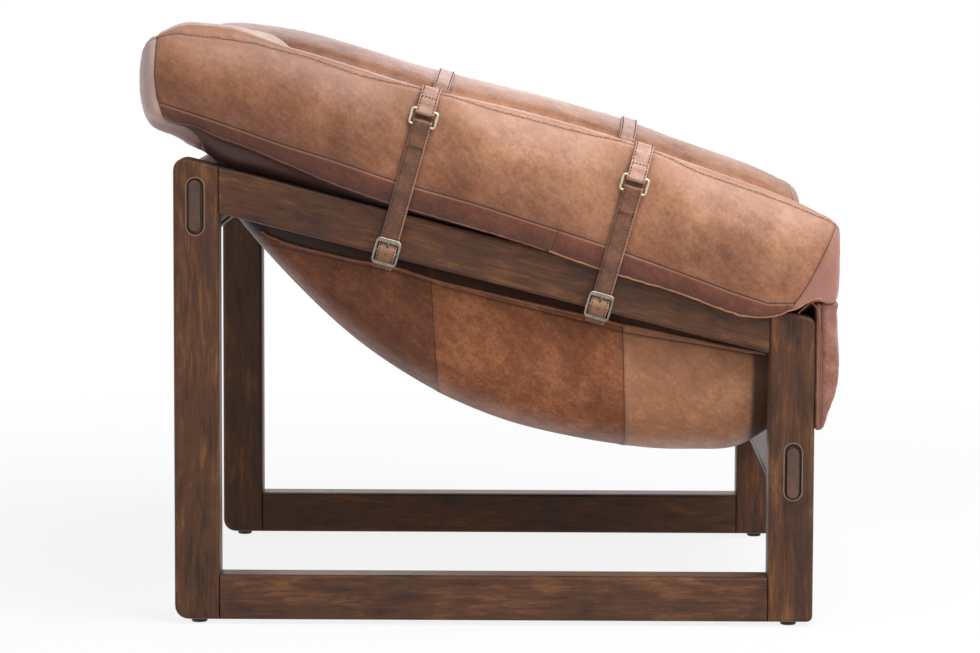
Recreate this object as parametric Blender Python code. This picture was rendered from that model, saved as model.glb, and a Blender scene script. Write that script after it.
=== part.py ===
"""A low lounge chair: two wooden side frames, a slung leather seat, draped cushions and buckled straps.

The chair faces -Y and stands on Z = 0. Its right side, under a sitter's right hand, is at -X.
"""
import math

import bmesh
import bpy
from mathutils import Matrix, Vector

MM = 0.001

# Overall sizes of the two side frames
frame_width = 790 * MM
frame_depth = 793 * MM
front_corner_height = 385 * MM
rail_angle = math.radians(14.1)

# Wooden stock of the side frames
stock_width = 56.5 * MM
stock_thickness = 45 * MM
edge_softening = 4 * MM
back_top_radius = 15 * MM
front_top_radius = 12 * MM
back_foot_radius = 17 * MM
front_foot_radius = 7 * MM
joint_gap = 0.3 * MM
cut_overrun = 10 * MM

# Cross rails with stadium tenons that pass through the legs
cross_rail_height = 73 * MM
cross_rail_thickness = 30 * MM
cross_rail_softening = 3 * MM
back_rail_below_corner = 62.2 * MM
front_rail_centre_height = 192 * MM
cross_rail_setback = 26 * MM
tenon_height = 64 * MM
tenon_thickness = 15 * MM
tenon_proud = 0.8 * MM
recess_height = 70 * MM
recess_thickness = 21 * MM
recess_depth = 3 * MM
back_recess_drop = 1.4 * MM
back_recess_shift = -1.5 * MM
front_recess_lift = 2.2 * MM

# Loose tenons hidden in the joints of the side frames
loose_tenon_length = 40 * MM
loose_tenon_height = 36 * MM
loose_tenon_thickness = 12 * MM

# Glides under the feet
glide_height = 5.6 * MM
glide_radius = 10 * MM
glide_softening = 1.2 * MM
glide_stem_radius = 3.5 * MM
glide_stem_length = 18 * MM
glide_inset = 29 * MM

# Slung seat: its leather, and the profile of its underside from front to back
sling_thickness = 5 * MM
sling_side_gap = 4 * MM
sling_dip = 30 * MM
sling_back_drop = 10.5 * MM
sling_edge_drop = 12 * MM
sling_corner_power = 5
sling_row_count = 12
sling_wall_shares = [0.9, 0.96, 0.99, 1]
sling_bed_shares = [0, 0.3, 0.58, 0.82, 1]
sleeve_gap = 0.4 * MM
# share of the run between the cross rails, share of the climb from the lowest point to the back
sling_profile_shares = [
    (0.066, 0.013),
    (0.145, 0.0),
    (0.23, 0.004),
    (0.364, 0.044),
    (0.491, 0.11),
    (0.614, 0.22),
    (0.744, 0.392),
    (0.855, 0.602),
    (0.955, 0.842),
]

# Arm cushions: boxed, and draped over the arm rails
arm_overreach = 22.5 * MM
arm_width = 130 * MM
arm_overhang = 16 * MM
arm_front_rise = 120 * MM
arm_back_rise = 152.8 * MM
arm_seam_height = 60 * MM
arm_panel_crown = 9 * MM
arm_top_fall = 20 * MM
arm_seam_inset = 5 * MM
arm_end_crown = 21 * MM
arm_front_crown = 7 * MM
arm_skirt_below_rail = 24 * MM
arm_tail_fall = 16 * MM
arm_tail_lift = 8.5 * MM
arm_strip_inset = 13 * MM
arm_lip_rise = 4 * MM
arm_over_rail = 0.7 * MM
arm_beside_rail = 1.5 * MM
arm_skirt_wall_share = 0.96
arm_wall_gap = 2.2 * MM
arm_station_shares = [0, 0.075, 0.13, 0.2, 0.27, 0.34, 0.42, 0.5, 0.58, 0.66, 0.74, 0.81, 0.87, 0.9, 0.965, 1]
arm_step_run = 8 * MM
# share of the arm's length from its front, share of the height between its front and back tops
arm_top_shares = [
    (0.0, 0.0),
    (0.056, 0.107),
    (0.115, 0.185),
    (0.2, 0.288),
    (0.29, 0.412),
    (0.365, 0.49),
    (0.505, 0.62),
    (0.61, 0.706),
    (0.7, 0.8),
    (0.775, 0.892),
    (0.85, 0.957),
    (0.925, 0.99),
    (0.965, 1.0),
    (1.0, 0.965),
]
# the seam under the outer panel: share of the arm's length, share of the seam's height over the rail
arm_panel_seam_shares = [
    (0.0, 0.645),
    (0.06, 0.213),
    (0.1, 0.08),
    (0.155, 0.135),
    (0.23, 0.271),
    (0.34, 0.418),
    (0.45, 0.515),
    (0.61, 0.755),
    (0.74, 0.767),
    (0.85, 0.86),
    (0.92, 1.0),
    (1.0, 1.02),
]
# the lower edge of the boxing strip below that seam, in the same shares
arm_strip_edge_shares = [
    (0.0, 0.472),
    (0.04, 0.29),
    (0.078, -0.19),
    (0.115, -0.417),
    (0.155, -0.383),
    (0.23, -0.213),
    (0.32, -0.197),
    (0.45, -0.025),
    (0.55, 0.033),
    (0.655, 0.078),
    (0.74, 0.198),
    (0.85, 0.477),
    (0.92, 0.568),
    (1.0, 0.635),
]
arm_wall_shares = (0, 0.5, 0.9)
arm_panel_shares = (0.12, 0.35, 0.65, 0.88)
arm_inner_shares = (0.3, 0.6, 0.88)
arm_slope_shares = (0.25, 0.5, 0.75)
# each ring of an end's closing face: share of the end's crown, and of the section's own size
arm_front_cap_shares = [(1, 0.72), (0.7, 0.92)]
arm_back_cap_shares = [(0.25, 0.96), (0.62, 0.8), (0.88, 0.56), (1, 0.3)]

# Seat cushion
cushion_side_gap = 2 * MM
cushion_seat_gap = 0.9 * MM
cushion_meeting_gap = 2 * MM
cushion_drawn_in = 10 * MM
cushion_drawn_power = 6
cushion_puff = 2.5 * MM
seat_nose_height = 26 * MM
seat_back_drop = 30 * MM
seat_crown = 14 * MM
seat_nose_reach = 25 * MM
seat_nose_radius = 12 * MM
seat_front_inset = 9 * MM
seat_front_rise = 24 * MM
seat_top_length = 571.5 * MM
seat_bottom_rows = 8
seat_top_shares = (0.12, 0.35, 0.6, 0.85)

# Back cushion
back_cushion_below_arm = 5 * MM
back_cushion_inset = 96.5 * MM
back_cushion_crown = 14 * MM
back_roll_reach = 42 * MM
back_roll_lift = 8 * MM
# share of the roll's reach behind the frame, share of its height over the back rail
back_roll_shares = [(0.5, 0.2), (0.9, 0.42), (1, 0.66), (0.82, 0.88)]
back_face_shares = (0.06, 0.3, 0.55, 0.8)

# Front apron
apron_rise = 17 * MM
apron_height = 159 * MM
apron_thickness = 26 * MM
apron_softening = 9 * MM
# share of the apron's height from its lower edge, share of its thickness
apron_face_shares = [(0, 0.34), (0.045, 0.55), (0.15, 0.74), (0.3, 1.05), (0.44, 1.12), (0.6, 1.07), (0.8, 0.98), (1, 1)]

# Straps, rings and buckles, each set in its own frame: x outward, y along the rail, z up the strap
strap_tilt = math.radians(15.6)
rear_strap_share = 0.6677
front_strap_share = 0.3373
buckle_above_rail_edge = 6 * MM
strap_width = 21.5 * MM
strap_thickness = 2.2 * MM
strap_gap = 0.8 * MM
rail_wrap_gap = 0.6 * MM

ring_width = 31 * MM
ring_height = 22 * MM
ring_wire_radius = 1.9 * MM
ring_corner_radius = 2.4 * MM
rear_ring_rise = 170 * MM
front_ring_rise = 155 * MM
ring_loop_tail = 13 * MM
loop_gap = 0.35 * MM

buckle_width = 29.5 * MM
buckle_height = 31 * MM
buckle_corner_radius = 5 * MM
buckle_inner_radius = 1 * MM
buckle_side_bar = 3 * MM
buckle_top_bar = 5.6 * MM
buckle_bottom_bar = 4.2 * MM
buckle_bar_depth = 3.4 * MM
buckle_softening = 1 * MM
buckle_face_out = 10.6 * MM
buckle_lug_length = 6 * MM
buckle_pin_radius = 1.4 * MM
buckle_pin_out = 4.8 * MM
pin_fit = 0.3 * MM

anchor_thickness = 1.7 * MM
anchor_rise = 24 * MM
anchor_slot_length = 9.4 * MM
anchor_slot_width = 4.2 * MM

tongue_radius = 1 * MM
tongue_crank_place = 8.4 * MM
tongue_reach = 15.6 * MM
tongue_hole_place = 7.4 * MM
tongue_hole_length = 5.4 * MM
tongue_hole_width = 3.4 * MM
hole_radius = 1 * MM
hole_pitch = 8.8 * MM
belt_tail = 21 * MM

# Finishes: colour, roughness, metallic
walnut = ((0.075, 0.033, 0.017, 1), 0.35, 0)
tan_leather = ((0.30, 0.122, 0.056, 1), 0.5, 0)
brown_leather = ((0.165, 0.066, 0.04, 1), 0.5, 0)
shade_leather = ((0.135, 0.05, 0.026, 1), 0.55, 0)
strap_leather = ((0.21, 0.095, 0.06, 1), 0.5, 0)
nickel = ((0.6, 0.55, 0.42, 1), 0.25, 1)
black_plastic = ((0.01, 0.01, 0.01, 1), 0.5, 0)

# Places that several pieces share
half_width = frame_width / 2
half_depth = frame_depth / 2
rail_slope = math.tan(rail_angle)
stock_centre = half_width - stock_thickness / 2
frame_inside = half_width - stock_thickness
leg_inside = half_depth - stock_width
sling_half_width = frame_inside - sling_side_gap
arm_length = frame_depth + 2 * arm_overreach
arm_outside = half_width + arm_overhang
arm_inside = arm_outside - arm_width
cushion_half_width = arm_inside - cushion_side_gap
back_rail_y = half_depth - cross_rail_setback
front_rail_y = -back_rail_y
front_rail_back = front_rail_y + cross_rail_thickness / 2
back_rail_front = back_rail_y - cross_rail_thickness / 2


def rail_top(y):
    return front_corner_height + (y + half_depth) * rail_slope


def rail_bottom(y):
    return rail_top(y) - stock_width / math.cos(rail_angle)


# Heights that follow from the side frames
back_rail_centre_height = rail_top(half_depth) - back_rail_below_corner
front_rail_top = front_rail_centre_height + cross_rail_height / 2
back_rail_top = back_rail_centre_height + cross_rail_height / 2
sling_low_height = front_rail_top - sling_dip
sling_back_height = back_rail_top - sling_back_drop
arm_front_height = front_corner_height + arm_front_rise
arm_back_height = rail_top(half_depth) + arm_back_rise
apron_top_height = front_corner_height + apron_rise
apron_low_height = apron_top_height - apron_height
seat_front_height = apron_top_height + seat_nose_height
seat_back_height = seat_front_height - seat_back_drop
seat_back_head = seat_top_length - half_depth - seat_nose_reach
back_cushion_height = arm_back_height - back_cushion_below_arm
back_cushion_head = half_depth - back_cushion_inset


def finish(name, look):
    colour, roughness, metallic = look
    material = bpy.data.materials.new(name)
    material.use_nodes = True
    shader = material.node_tree.nodes["Principled BSDF"]
    shader.inputs["Base Color"].default_value = colour
    shader.inputs["Roughness"].default_value = roughness
    shader.inputs["Metallic"].default_value = metallic
    material.diffuse_color = colour
    return material


def place(name, mesh, look, at=(0, 0, 0), parent=None, smooth=40):
    """Make an object of the mesh, with a finish of its own."""
    mesh.materials.clear()
    mesh.materials.append(finish(name + "_finish", look))
    mesh.shade_smooth()
    mesh.set_sharp_from_angle(angle=math.radians(smooth))
    piece = bpy.data.objects.new(name, mesh)
    bpy.context.collection.objects.link(piece)
    piece.location = at
    piece.parent = parent
    return piece


def mesh_of(bm, name):
    bmesh.ops.recalc_face_normals(bm, faces=bm.faces)
    mesh = bpy.data.meshes.new(name)
    bm.to_mesh(mesh)
    bm.free()
    return mesh


def mirrored(mesh):
    copy = mesh.copy()
    copy.transform(Matrix.Scale(-1, 4, (1, 0, 0)))
    copy.flip_normals()
    return copy


def carved(mesh, cutters, operation="DIFFERENCE"):
    """The mesh after each cutter mesh has been taken from it, or joined to it."""
    target = bpy.data.objects.new("blank", mesh)
    bpy.context.collection.objects.link(target)
    tools = []
    for cutter in cutters:
        tool = bpy.data.objects.new("cutter", cutter)
        bpy.context.collection.objects.link(tool)
        step = target.modifiers.new("cut", "BOOLEAN")
        step.operation = operation
        step.object = tool
        tools.append(tool)
    seen = target.evaluated_get(bpy.context.evaluated_depsgraph_get())
    result = bpy.data.meshes.new_from_object(seen)
    for thing in [target] + tools:
        bpy.data.objects.remove(thing)
    return result


def arc(centre, radius, start, end, steps):
    """Points round a centre, from one angle in degrees to another."""
    points = []
    for step in range(steps + 1):
        angle = math.radians(start + (end - start) * step / steps)
        points.append((centre[0] + radius * math.cos(angle), centre[1] + radius * math.sin(angle)))
    return points


def extrusion(outline, low, high, softening=0, segments=2):
    """A bmesh of an outline in Y and Z, drawn out along X, its rims rounded."""
    bm = bmesh.new()
    face = bm.faces.new([bm.verts.new((low, y, z)) for y, z in outline])
    grown = bmesh.ops.extrude_face_region(bm, geom=[face])["geom"]
    moved = [item for item in grown if isinstance(item, bmesh.types.BMVert)]
    bmesh.ops.translate(bm, vec=(high - low, 0, 0), verts=moved)
    bmesh.ops.recalc_face_normals(bm, faces=bm.faces)
    if softening:
        rims = [edge for edge in bm.edges if edge.verts[0].co.x == edge.verts[1].co.x]
        bmesh.ops.bevel(bm, geom=rims, offset=softening, segments=segments, profile=0.5,
                        affect="EDGES", material=-1)
    return bm


def trim(bm, point, outward):
    """Cut a closed bmesh by a plane and close the cut; what lies outward is removed."""
    geometry = bm.verts[:] + bm.edges[:] + bm.faces[:]
    bmesh.ops.bisect_plane(bm, geom=geometry, plane_co=point, plane_no=outward, clear_outer=True)
    rim = [edge for edge in bm.edges if edge.is_boundary]
    bmesh.ops.holes_fill(bm, edges=rim, sides=0)


def stadium(centre, height, thickness, low, high, steps=6):
    """A bar along X whose section is a slot with round ends."""
    radius = thickness / 2
    reach = height / 2 - radius
    y, z = centre
    outline = arc((y, z + reach), radius, 0, 180, steps) + arc((y, z - reach), radius, 180, 360, steps)
    return extrusion(outline, low, high)


def cylinder(radius, length, matrix, sides=10):
    bm = bmesh.new()
    bmesh.ops.create_cone(bm, cap_ends=True, segments=sides, radius1=radius, radius2=radius,
                          depth=length, matrix=matrix)
    return bm


def loft(rings, cap_start=True, cap_end=True):
    """A bmesh skin through closed rings of points, with its ends closed."""
    bm = bmesh.new()
    rows = [[bm.verts.new(point) for point in ring] for ring in rings]
    count = len(rows[0])
    for row, following in zip(rows, rows[1:]):
        for place_in_ring in range(count):
            after = (place_in_ring + 1) % count
            bm.faces.new((row[place_in_ring], row[after], following[after], following[place_in_ring]))
    if cap_start:
        bm.faces.new(rows[0])
    if cap_end:
        bm.faces.new(rows[-1])
    return bm


def through(points, x):
    """Height at x on a smooth curve through points that are sorted by x."""
    last = len(points) - 1
    x = min(max(x, points[0][0]), points[last][0])
    index = max(i for i in range(last) if points[i][0] <= x)
    (x0, y0), (x1, y1) = points[index], points[index + 1]

    def slope_at(i):
        before, after = points[max(i - 1, 0)], points[min(i + 1, last)]
        return (after[1] - before[1]) / (after[0] - before[0])

    run = x1 - x0
    t = (x - x0) / run
    return (
        (2 * t**3 - 3 * t**2 + 1) * y0
        + (t**3 - 2 * t**2 + t) * run * slope_at(index)
        + (3 * t**2 - 2 * t**3) * y1
        + (t**3 - t**2) * run * slope_at(index + 1)
    )


# Joints of one side frame: where the middle of each one lies, in Y and Z
lower_rail_low = glide_height + joint_gap
lower_joint_height = lower_rail_low + stock_width / 2
frame_joints = {
    "back_upper": (leg_inside, (rail_top(leg_inside) + rail_bottom(leg_inside)) / 2),
    "back_lower": (leg_inside, lower_joint_height),
    "front_upper": (-leg_inside, (rail_top(-leg_inside) + rail_bottom(-leg_inside)) / 2),
    "front_lower": (-leg_inside, lower_joint_height),
}


def loose_tenon(fit=0):
    """A flat tenon with round edges, lying along Y, its middle at the origin."""
    radius = loose_tenon_thickness / 2 + fit
    reach = loose_tenon_height / 2 + fit - radius
    half_length = loose_tenon_length / 2 + fit
    outline = arc((0, reach), radius, 0, 180, 4) + arc((0, -reach), radius, 180, 360, 4)
    bm = bmesh.new()
    face = bm.faces.new([bm.verts.new((x, -half_length, z)) for x, z in outline])
    grown = bmesh.ops.extrude_face_region(bm, geom=[face])["geom"]
    moved = [item for item in grown if isinstance(item, bmesh.types.BMVert)]
    bmesh.ops.translate(bm, vec=(0, 2 * half_length, 0), verts=moved)
    return bm


def tenon_slots():
    """Cutters for the loose tenons of a side frame, about X = 0."""
    cutters = []
    for y, z in frame_joints.values():
        slot = loose_tenon(joint_gap)
        bmesh.ops.translate(slot, vec=(0, y, z), verts=slot.verts)
        cutters.append(mesh_of(slot, "slot"))
    return cutters


def loose_tenons():
    """One in each joint of each side frame."""
    for side, x in (("left", stock_centre), ("right", -stock_centre)):
        for joint, (y, z) in frame_joints.items():
            place(f"loose_tenon_{joint}_{side}", mesh_of(loose_tenon(), "tenon"), walnut, (x, y, z))


def back_leg():
    top_corner = rail_top(half_depth)
    slope = math.degrees(rail_angle)
    reach = back_top_radius * math.tan(math.radians((90 + slope) / 2))
    top_centre = (half_depth - back_top_radius, top_corner - reach)
    foot_centre = (half_depth - back_foot_radius, lower_rail_low + back_foot_radius)
    outline = arc(foot_centre, back_foot_radius, -90, 0, 5)
    outline += arc(top_centre, back_top_radius, 0, 90 + slope, 6)
    outline += [(leg_inside, rail_top(leg_inside)), (leg_inside, lower_rail_low)]
    return extrusion(outline, -stock_thickness / 2, stock_thickness / 2, edge_softening)


def front_leg():
    slope = math.degrees(rail_angle)
    reach = front_top_radius * math.tan(math.radians((90 - slope) / 2))
    top_centre = (front_top_radius - half_depth, front_corner_height - reach)
    foot_centre = (front_foot_radius - half_depth, lower_rail_low + front_foot_radius)
    outline = [(-leg_inside, lower_rail_low), (-leg_inside, rail_top(-leg_inside))]
    outline += arc(top_centre, front_top_radius, 90 + slope, 180, 5)
    outline += arc(foot_centre, front_foot_radius, 180, 270, 3)
    return extrusion(outline, -stock_thickness / 2, stock_thickness / 2, edge_softening)


def rail_between_legs(low_at, high_at):
    """A rail whose ends meet the legs squarely, with its lower and upper edges given along Y."""
    reach = leg_inside + cut_overrun
    outline = [(-reach, low_at(-reach)), (reach, low_at(reach)), (reach, high_at(reach)), (-reach, high_at(-reach))]
    bm = extrusion(outline, -stock_thickness / 2, stock_thickness / 2, edge_softening)
    for end in (-1, 1):
        trim(bm, (0, end * (leg_inside - joint_gap), 0), (0, end, 0))
    return bm


def arm_rail():
    return rail_between_legs(rail_bottom, rail_top)


def bottom_rail():
    return rail_between_legs(lambda y: lower_rail_low, lambda y: lower_rail_low + stock_width)


def tenon_cutters(centre, recess_centre):
    """The through mortise of a cross rail, and the shallow recess round its end, in a left leg."""
    face = stock_thickness / 2
    height = tenon_height + 2 * joint_gap
    thickness = tenon_thickness + 2 * joint_gap
    mortise = stadium(centre, height, thickness, -face - cut_overrun, face + cut_overrun)
    recess = stadium(recess_centre, recess_height, recess_thickness, face - recess_depth, face + cut_overrun)
    return [mesh_of(mortise, "mortise"), mesh_of(recess, "recess")]


def glide_holes():
    holes = []
    for end in (-1, 1):
        centre = Vector((0, end * (half_depth - glide_inset), lower_rail_low))
        hole = cylinder(glide_stem_radius + joint_gap, 2 * (glide_stem_length + joint_gap),
                        Matrix.Translation(centre))
        holes.append(mesh_of(hole, "glide_hole"))
    return holes


def side_frames():
    back_centre = (back_rail_y, back_rail_centre_height)
    back_recess = (back_rail_y + back_recess_shift, back_rail_centre_height - back_recess_drop)
    front_centre = (front_rail_y, front_rail_centre_height)
    front_recess = (front_rail_y, front_rail_centre_height + front_recess_lift)
    back_cuts = tenon_cutters(back_centre, back_recess)
    front_cuts = tenon_cutters(front_centre, front_recess)
    blanks = {
        "back_leg": (back_leg(), back_cuts),
        "front_leg": (front_leg(), front_cuts),
        "arm_rail": (arm_rail(), []),
        "bottom_rail": (bottom_rail(), []),
    }
    for name, (blank, cuts) in blanks.items():
        cutters = tenon_slots() + cuts
        if "leg" in name:
            cutters += glide_holes()
        mesh = carved(mesh_of(blank, name), cutters)
        place(name + "_left", mesh, walnut, (stock_centre, 0, 0))
        place(name + "_right", mirrored(mesh), walnut, (-stock_centre, 0, 0))


def cross_rails():
    ends = half_width + tenon_proud
    for name, y, height in (
        ("back_cross_rail", back_rail_y, back_rail_centre_height),
        ("front_cross_rail", front_rail_y, front_rail_centre_height),
    ):
        half_thickness = cross_rail_thickness / 2
        half_height = cross_rail_height / 2
        outline = [
            (-half_thickness, -half_height),
            (half_thickness, -half_height),
            (half_thickness, half_height),
            (-half_thickness, half_height),
        ]
        shoulder = frame_inside - joint_gap
        bm = extrusion(outline, -shoulder, shoulder)
        long_edges = [edge for edge in bm.edges if edge.verts[0].co.x != edge.verts[1].co.x]
        bmesh.ops.bevel(bm, geom=long_edges, offset=cross_rail_softening, segments=2, profile=0.5,
                        affect="EDGES", material=-1)
        tenon = stadium((0, 0), tenon_height, tenon_thickness, -ends, ends)
        mesh = carved(mesh_of(bm, name), [mesh_of(tenon, "tenon")], "UNION")
        place(name, mesh, walnut, (0, y, height))


def glides():
    bm = bmesh.new()
    base = Matrix.Translation((0, 0, glide_height / 2))
    bmesh.ops.create_cone(bm, cap_ends=True, segments=16, radius1=glide_radius, radius2=glide_radius,
                          depth=glide_height, matrix=base)
    rims = [edge for edge in bm.edges if edge.verts[0].co.z == edge.verts[1].co.z]
    bmesh.ops.bevel(bm, geom=rims, offset=glide_softening, segments=1, profile=0.5,
                    affect="EDGES", material=-1)
    top = glide_height + glide_stem_length
    stem = cylinder(glide_stem_radius, top - glide_height / 2,
                    Matrix.Translation((0, 0, (top + glide_height / 2) / 2)))
    mesh = carved(mesh_of(bm, "glide"), [mesh_of(stem, "stem")], "UNION")
    for side, x in (("left", stock_centre), ("right", -stock_centre)):
        for end, y in (("front", glide_inset - half_depth), ("back", half_depth - glide_inset)):
            place(f"glide_{end}_{side}", mesh.copy(), black_plastic, (x, y, 0))


sling_first_y = front_rail_back + sleeve_gap
sling_last_y = back_rail_front - sleeve_gap


def sling_profile():
    """The underside of the slung seat on its middle line, from the front rail to the back rail."""
    run = sling_last_y - sling_first_y
    climb = sling_back_height - sling_low_height
    points = [(sling_first_y, front_rail_top + sleeve_gap)]
    points += [(sling_first_y + y * run, sling_low_height + z * climb) for y, z in sling_profile_shares]
    points += [(sling_last_y, sling_back_height)]
    return points


sling_rows = [sling_first_y + (sling_last_y - sling_first_y) * row / sling_row_count
              for row in range(sling_row_count + 1)]
sling_middles = [(y, through(sling_profile(), y)) for y in sling_rows]


def between(points, x):
    """Height at x on the straight runs between points that are sorted by x."""
    x = min(max(x, points[0][0]), points[-1][0])
    index = max(i for i, point in enumerate(points[:-1]) if point[0] <= x)
    (x0, y0), (x1, y1) = points[index], points[index + 1]
    return y0 + (y1 - y0) * (x - x0) / (x1 - x0)


def sling_wall(share):
    """How far up its wall the seat has curved, at a share of its half width from the middle."""
    flat_part = max(0.0, 1 - min(abs(share), 1) ** sling_corner_power)
    return 1 - flat_part ** (1 / sling_corner_power)


def sling_edge(y):
    return rail_top(y) - sling_edge_drop


def sling_under(x, y):
    """Height of the slung seat's underside."""
    middle = between(sling_middles, y)
    return middle + (sling_edge(y) - middle) * sling_wall(x / sling_half_width)


def slopes(x, y):
    """How steeply the slung seat rises along Y and towards its side."""
    step = sling_thickness / 4
    y = min(max(y, sling_first_y + step), sling_last_y - step)
    x = min(abs(x), sling_half_width - step)
    rise = (sling_under(x, y + step) - sling_under(x, y - step)) / (2 * step)
    lean = (sling_under(x + step, y) - sling_under(x - step, y)) / (2 * step)
    return rise, lean


def above_sling(x, y, clearance):
    """Height of a point that lies clear of the slung seat's upper face."""
    rise, lean = slopes(x, y)
    return sling_under(x, y) + (sling_thickness + clearance) * math.sqrt(1 + rise**2 + lean**2)


def wall_inside(y, z, clearance):
    """How far out a point at a height can be and still lie clear of the side wall's flat facets."""
    low = between(sling_middles, y)
    tall = sling_edge(y) - low
    climbed = min(max((z - low) / tall, 0), 1)
    shares = bed_shares + sling_wall_shares
    for first, second in zip(shares, shares[1:]):
        low_climb, high_climb = sling_wall(first), sling_wall(second)
        if low_climb <= climbed <= high_climb:
            break
    share = first + (second - first) * (climbed - low_climb) / (high_climb - low_climb)
    lean = tall * (high_climb - low_climb) / ((second - first) * sling_half_width)
    rise = slopes(share * sling_half_width, y)[0]
    return share * sling_half_width - (sling_thickness + clearance) * math.sqrt(1 + rise**2 + lean**2) / lean


def sleeve(rail_y, rail_height, side):
    """Where the leather passes round a cross rail, from its sling side over the top and back below."""
    reach = cross_rail_thickness / 2 + sleeve_gap
    rise = cross_rail_height / 2 + sleeve_gap
    corners = [(-reach, rise), (reach, rise), (reach, -rise), (-reach, -rise)]
    return [(rail_y + side * y, rail_height + z) for y, z in corners]


bed_shares = [share * cushion_half_width / sling_half_width for share in sling_bed_shares]
sling_columns = [-share for share in reversed(bed_shares[1:] + sling_wall_shares)] + bed_shares + sling_wall_shares


def sling():
    """The hammock seat: a leather tub between the side frames, sleeved over both cross rails."""
    bm = bmesh.new()
    rows = []
    for y in sling_rows:
        xs = [share * sling_half_width for share in sling_columns]
        rows.append([bm.verts.new((x, y, sling_under(x, y))) for x in xs])
    for row, following in zip(rows, rows[1:]):
        for index in range(len(sling_columns) - 1):
            bm.faces.new((row[index], row[index + 1], following[index + 1], following[index]))
    flat = [index for index, share in enumerate(sling_columns) if abs(share) <= sling_wall_shares[0]]
    front_sleeve = sleeve(front_rail_y, front_rail_centre_height, -1)
    back_sleeve = sleeve(back_rail_y, back_rail_centre_height, 1)
    ends = ((rows[0], front_sleeve[1:]), (rows[-1], back_sleeve))
    for row, route in ends:
        last_row = [row[index] for index in flat]
        for y, z in route:
            next_row = [bm.verts.new((vert.co.x, y, z)) for vert in last_row]
            for index in range(len(flat) - 1):
                bm.faces.new((last_row[index], last_row[index + 1], next_row[index + 1], next_row[index]))
            last_row = next_row
    bmesh.ops.recalc_face_normals(bm, faces=bm.faces)
    bm.faces.ensure_lookup_table()
    if bm.faces[len(sling_columns) // 2].normal.z < 0:
        bmesh.ops.reverse_faces(bm, faces=bm.faces)
    mesh = bpy.data.meshes.new("sling_seat")
    bm.to_mesh(mesh)
    bm.free()
    piece = place("sling_seat", mesh, shade_leather)
    skin = piece.modifiers.new("leather", "SOLIDIFY")
    skin.thickness = sling_thickness
    skin.offset = 1
    skin.use_even_offset = True


def arm_top(y):
    rise = arm_back_height - arm_front_height
    curve = [(arm_length * (share - 0.5), arm_front_height + rise * height) for share, height in arm_top_shares]
    return through(curve, y)


def over_rail_curve(shares, y):
    """Height at y of an edge that follows the rail."""
    places = [(arm_length * (share - 0.5), height) for share, height in shares]
    curve = [(place_y, rail_top(place_y) + arm_seam_height * height) for place_y, height in places]
    return through(curve, y)


arm_step_y = -half_depth + arm_step_run / 2
arm_lift_y = sling_last_y - 2 * sling_thickness


def over_frame(y):
    """Height of the arm cushion's underside over the frame; its tail is lifted clear of the back leg."""
    lifted = min(max((y - arm_lift_y) / (back_rail_y - arm_lift_y), 0), 1)
    return rail_top(y) + arm_over_rail + arm_tail_lift * lifted


def arm_skirt_low(y):
    """How low the arm cushion's skirt hangs inside the frame."""
    if y < arm_step_y:
        return apron_top_height + cushion_meeting_gap
    if y >= half_depth:
        return over_rail_curve(arm_strip_edge_shares, y) - arm_tail_fall
    over_sleeve = back_rail_top + sleeve_gap + sling_thickness + cushion_meeting_gap
    if y >= arm_lift_y:
        return max(over_sleeve, over_frame(y) - arm_lip_rise / 4)
    low_y = min(max(y, sling_first_y), sling_last_y)
    on_seat = above_sling(arm_inside, low_y, arm_lip_rise)
    on_wall = above_sling(sling_half_width * arm_skirt_wall_share, low_y, arm_wall_gap)
    return max(rail_bottom(y) - arm_skirt_below_rail, on_seat, on_wall)


def arm_section(y):
    """Section of the right arm cushion at y, in X and Z, clockwise from its outer top seam."""
    top = arm_top(y)
    seam = over_rail_curve(arm_panel_seam_shares, y)
    strip = min(over_rail_curve(arm_strip_edge_shares, y), seam - arm_lip_rise)
    outside = -arm_outside
    inside = -arm_inside
    over_rail = over_frame(y)
    if y < arm_step_y or y >= half_depth:
        over_rail = max(over_rail, arm_skirt_low(y) + arm_lip_rise / 4)
    beside = -half_width - arm_beside_rail
    lip = max(over_rail, strip + arm_lip_rise)
    skirt = min(arm_skirt_low(y), over_rail - arm_lip_rise / 4)
    wall_y = min(max(y, sling_first_y), sling_last_y)
    walls = []
    for share in arm_wall_shares:
        height = over_rail + (skirt - over_rail) * share
        walls.append((-wall_inside(wall_y, height, arm_wall_gap), height))
    panel = [(outside + arm_seam_inset, top)]
    for share in arm_panel_shares:
        bulge = arm_panel_crown * math.sin(math.pi * share) + arm_seam_inset * share
        panel.append((outside + arm_seam_inset - bulge, top + (seam - top) * share))
    boxing = [
        (outside, seam),
        (outside - arm_seam_inset / 2, (seam + strip) / 2),
        (outside + arm_strip_inset / 2, strip),
    ]
    under = [
        (beside, strip + arm_lip_rise / 2),
        (beside, lip),
        (-half_width + arm_overhang / 2, over_rail),
    ]
    low = [((walls[-1][0] + inside) / 2, skirt), (inside - arm_seam_inset, skirt + arm_lip_rise / 8)]
    tall = top - arm_top_fall - skirt
    low_share, middle_share, high_share = arm_inner_shares
    inner = [
        (inside - arm_seam_inset / 4, skirt + tall * low_share),
        (inside, skirt + tall * middle_share),
        (inside - arm_seam_inset / 4, skirt + tall * high_share),
        (inside - arm_seam_inset, top - arm_top_fall),
    ]
    slope = []
    for share in arm_slope_shares:
        x = inside - arm_seam_inset + (outside + 2 * arm_seam_inset - inside) * share
        slope.append((x, top - arm_top_fall * (1 - share) ** 2))
    return panel + boxing + under + walls + low + inner + slope


arm_stations = [arm_length * (share - 0.5) for share in arm_station_shares]
arm_stations += [-half_depth + joint_gap, -half_depth + arm_step_run, arm_lift_y, back_rail_y, half_depth]
arm_stations.sort()


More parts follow.
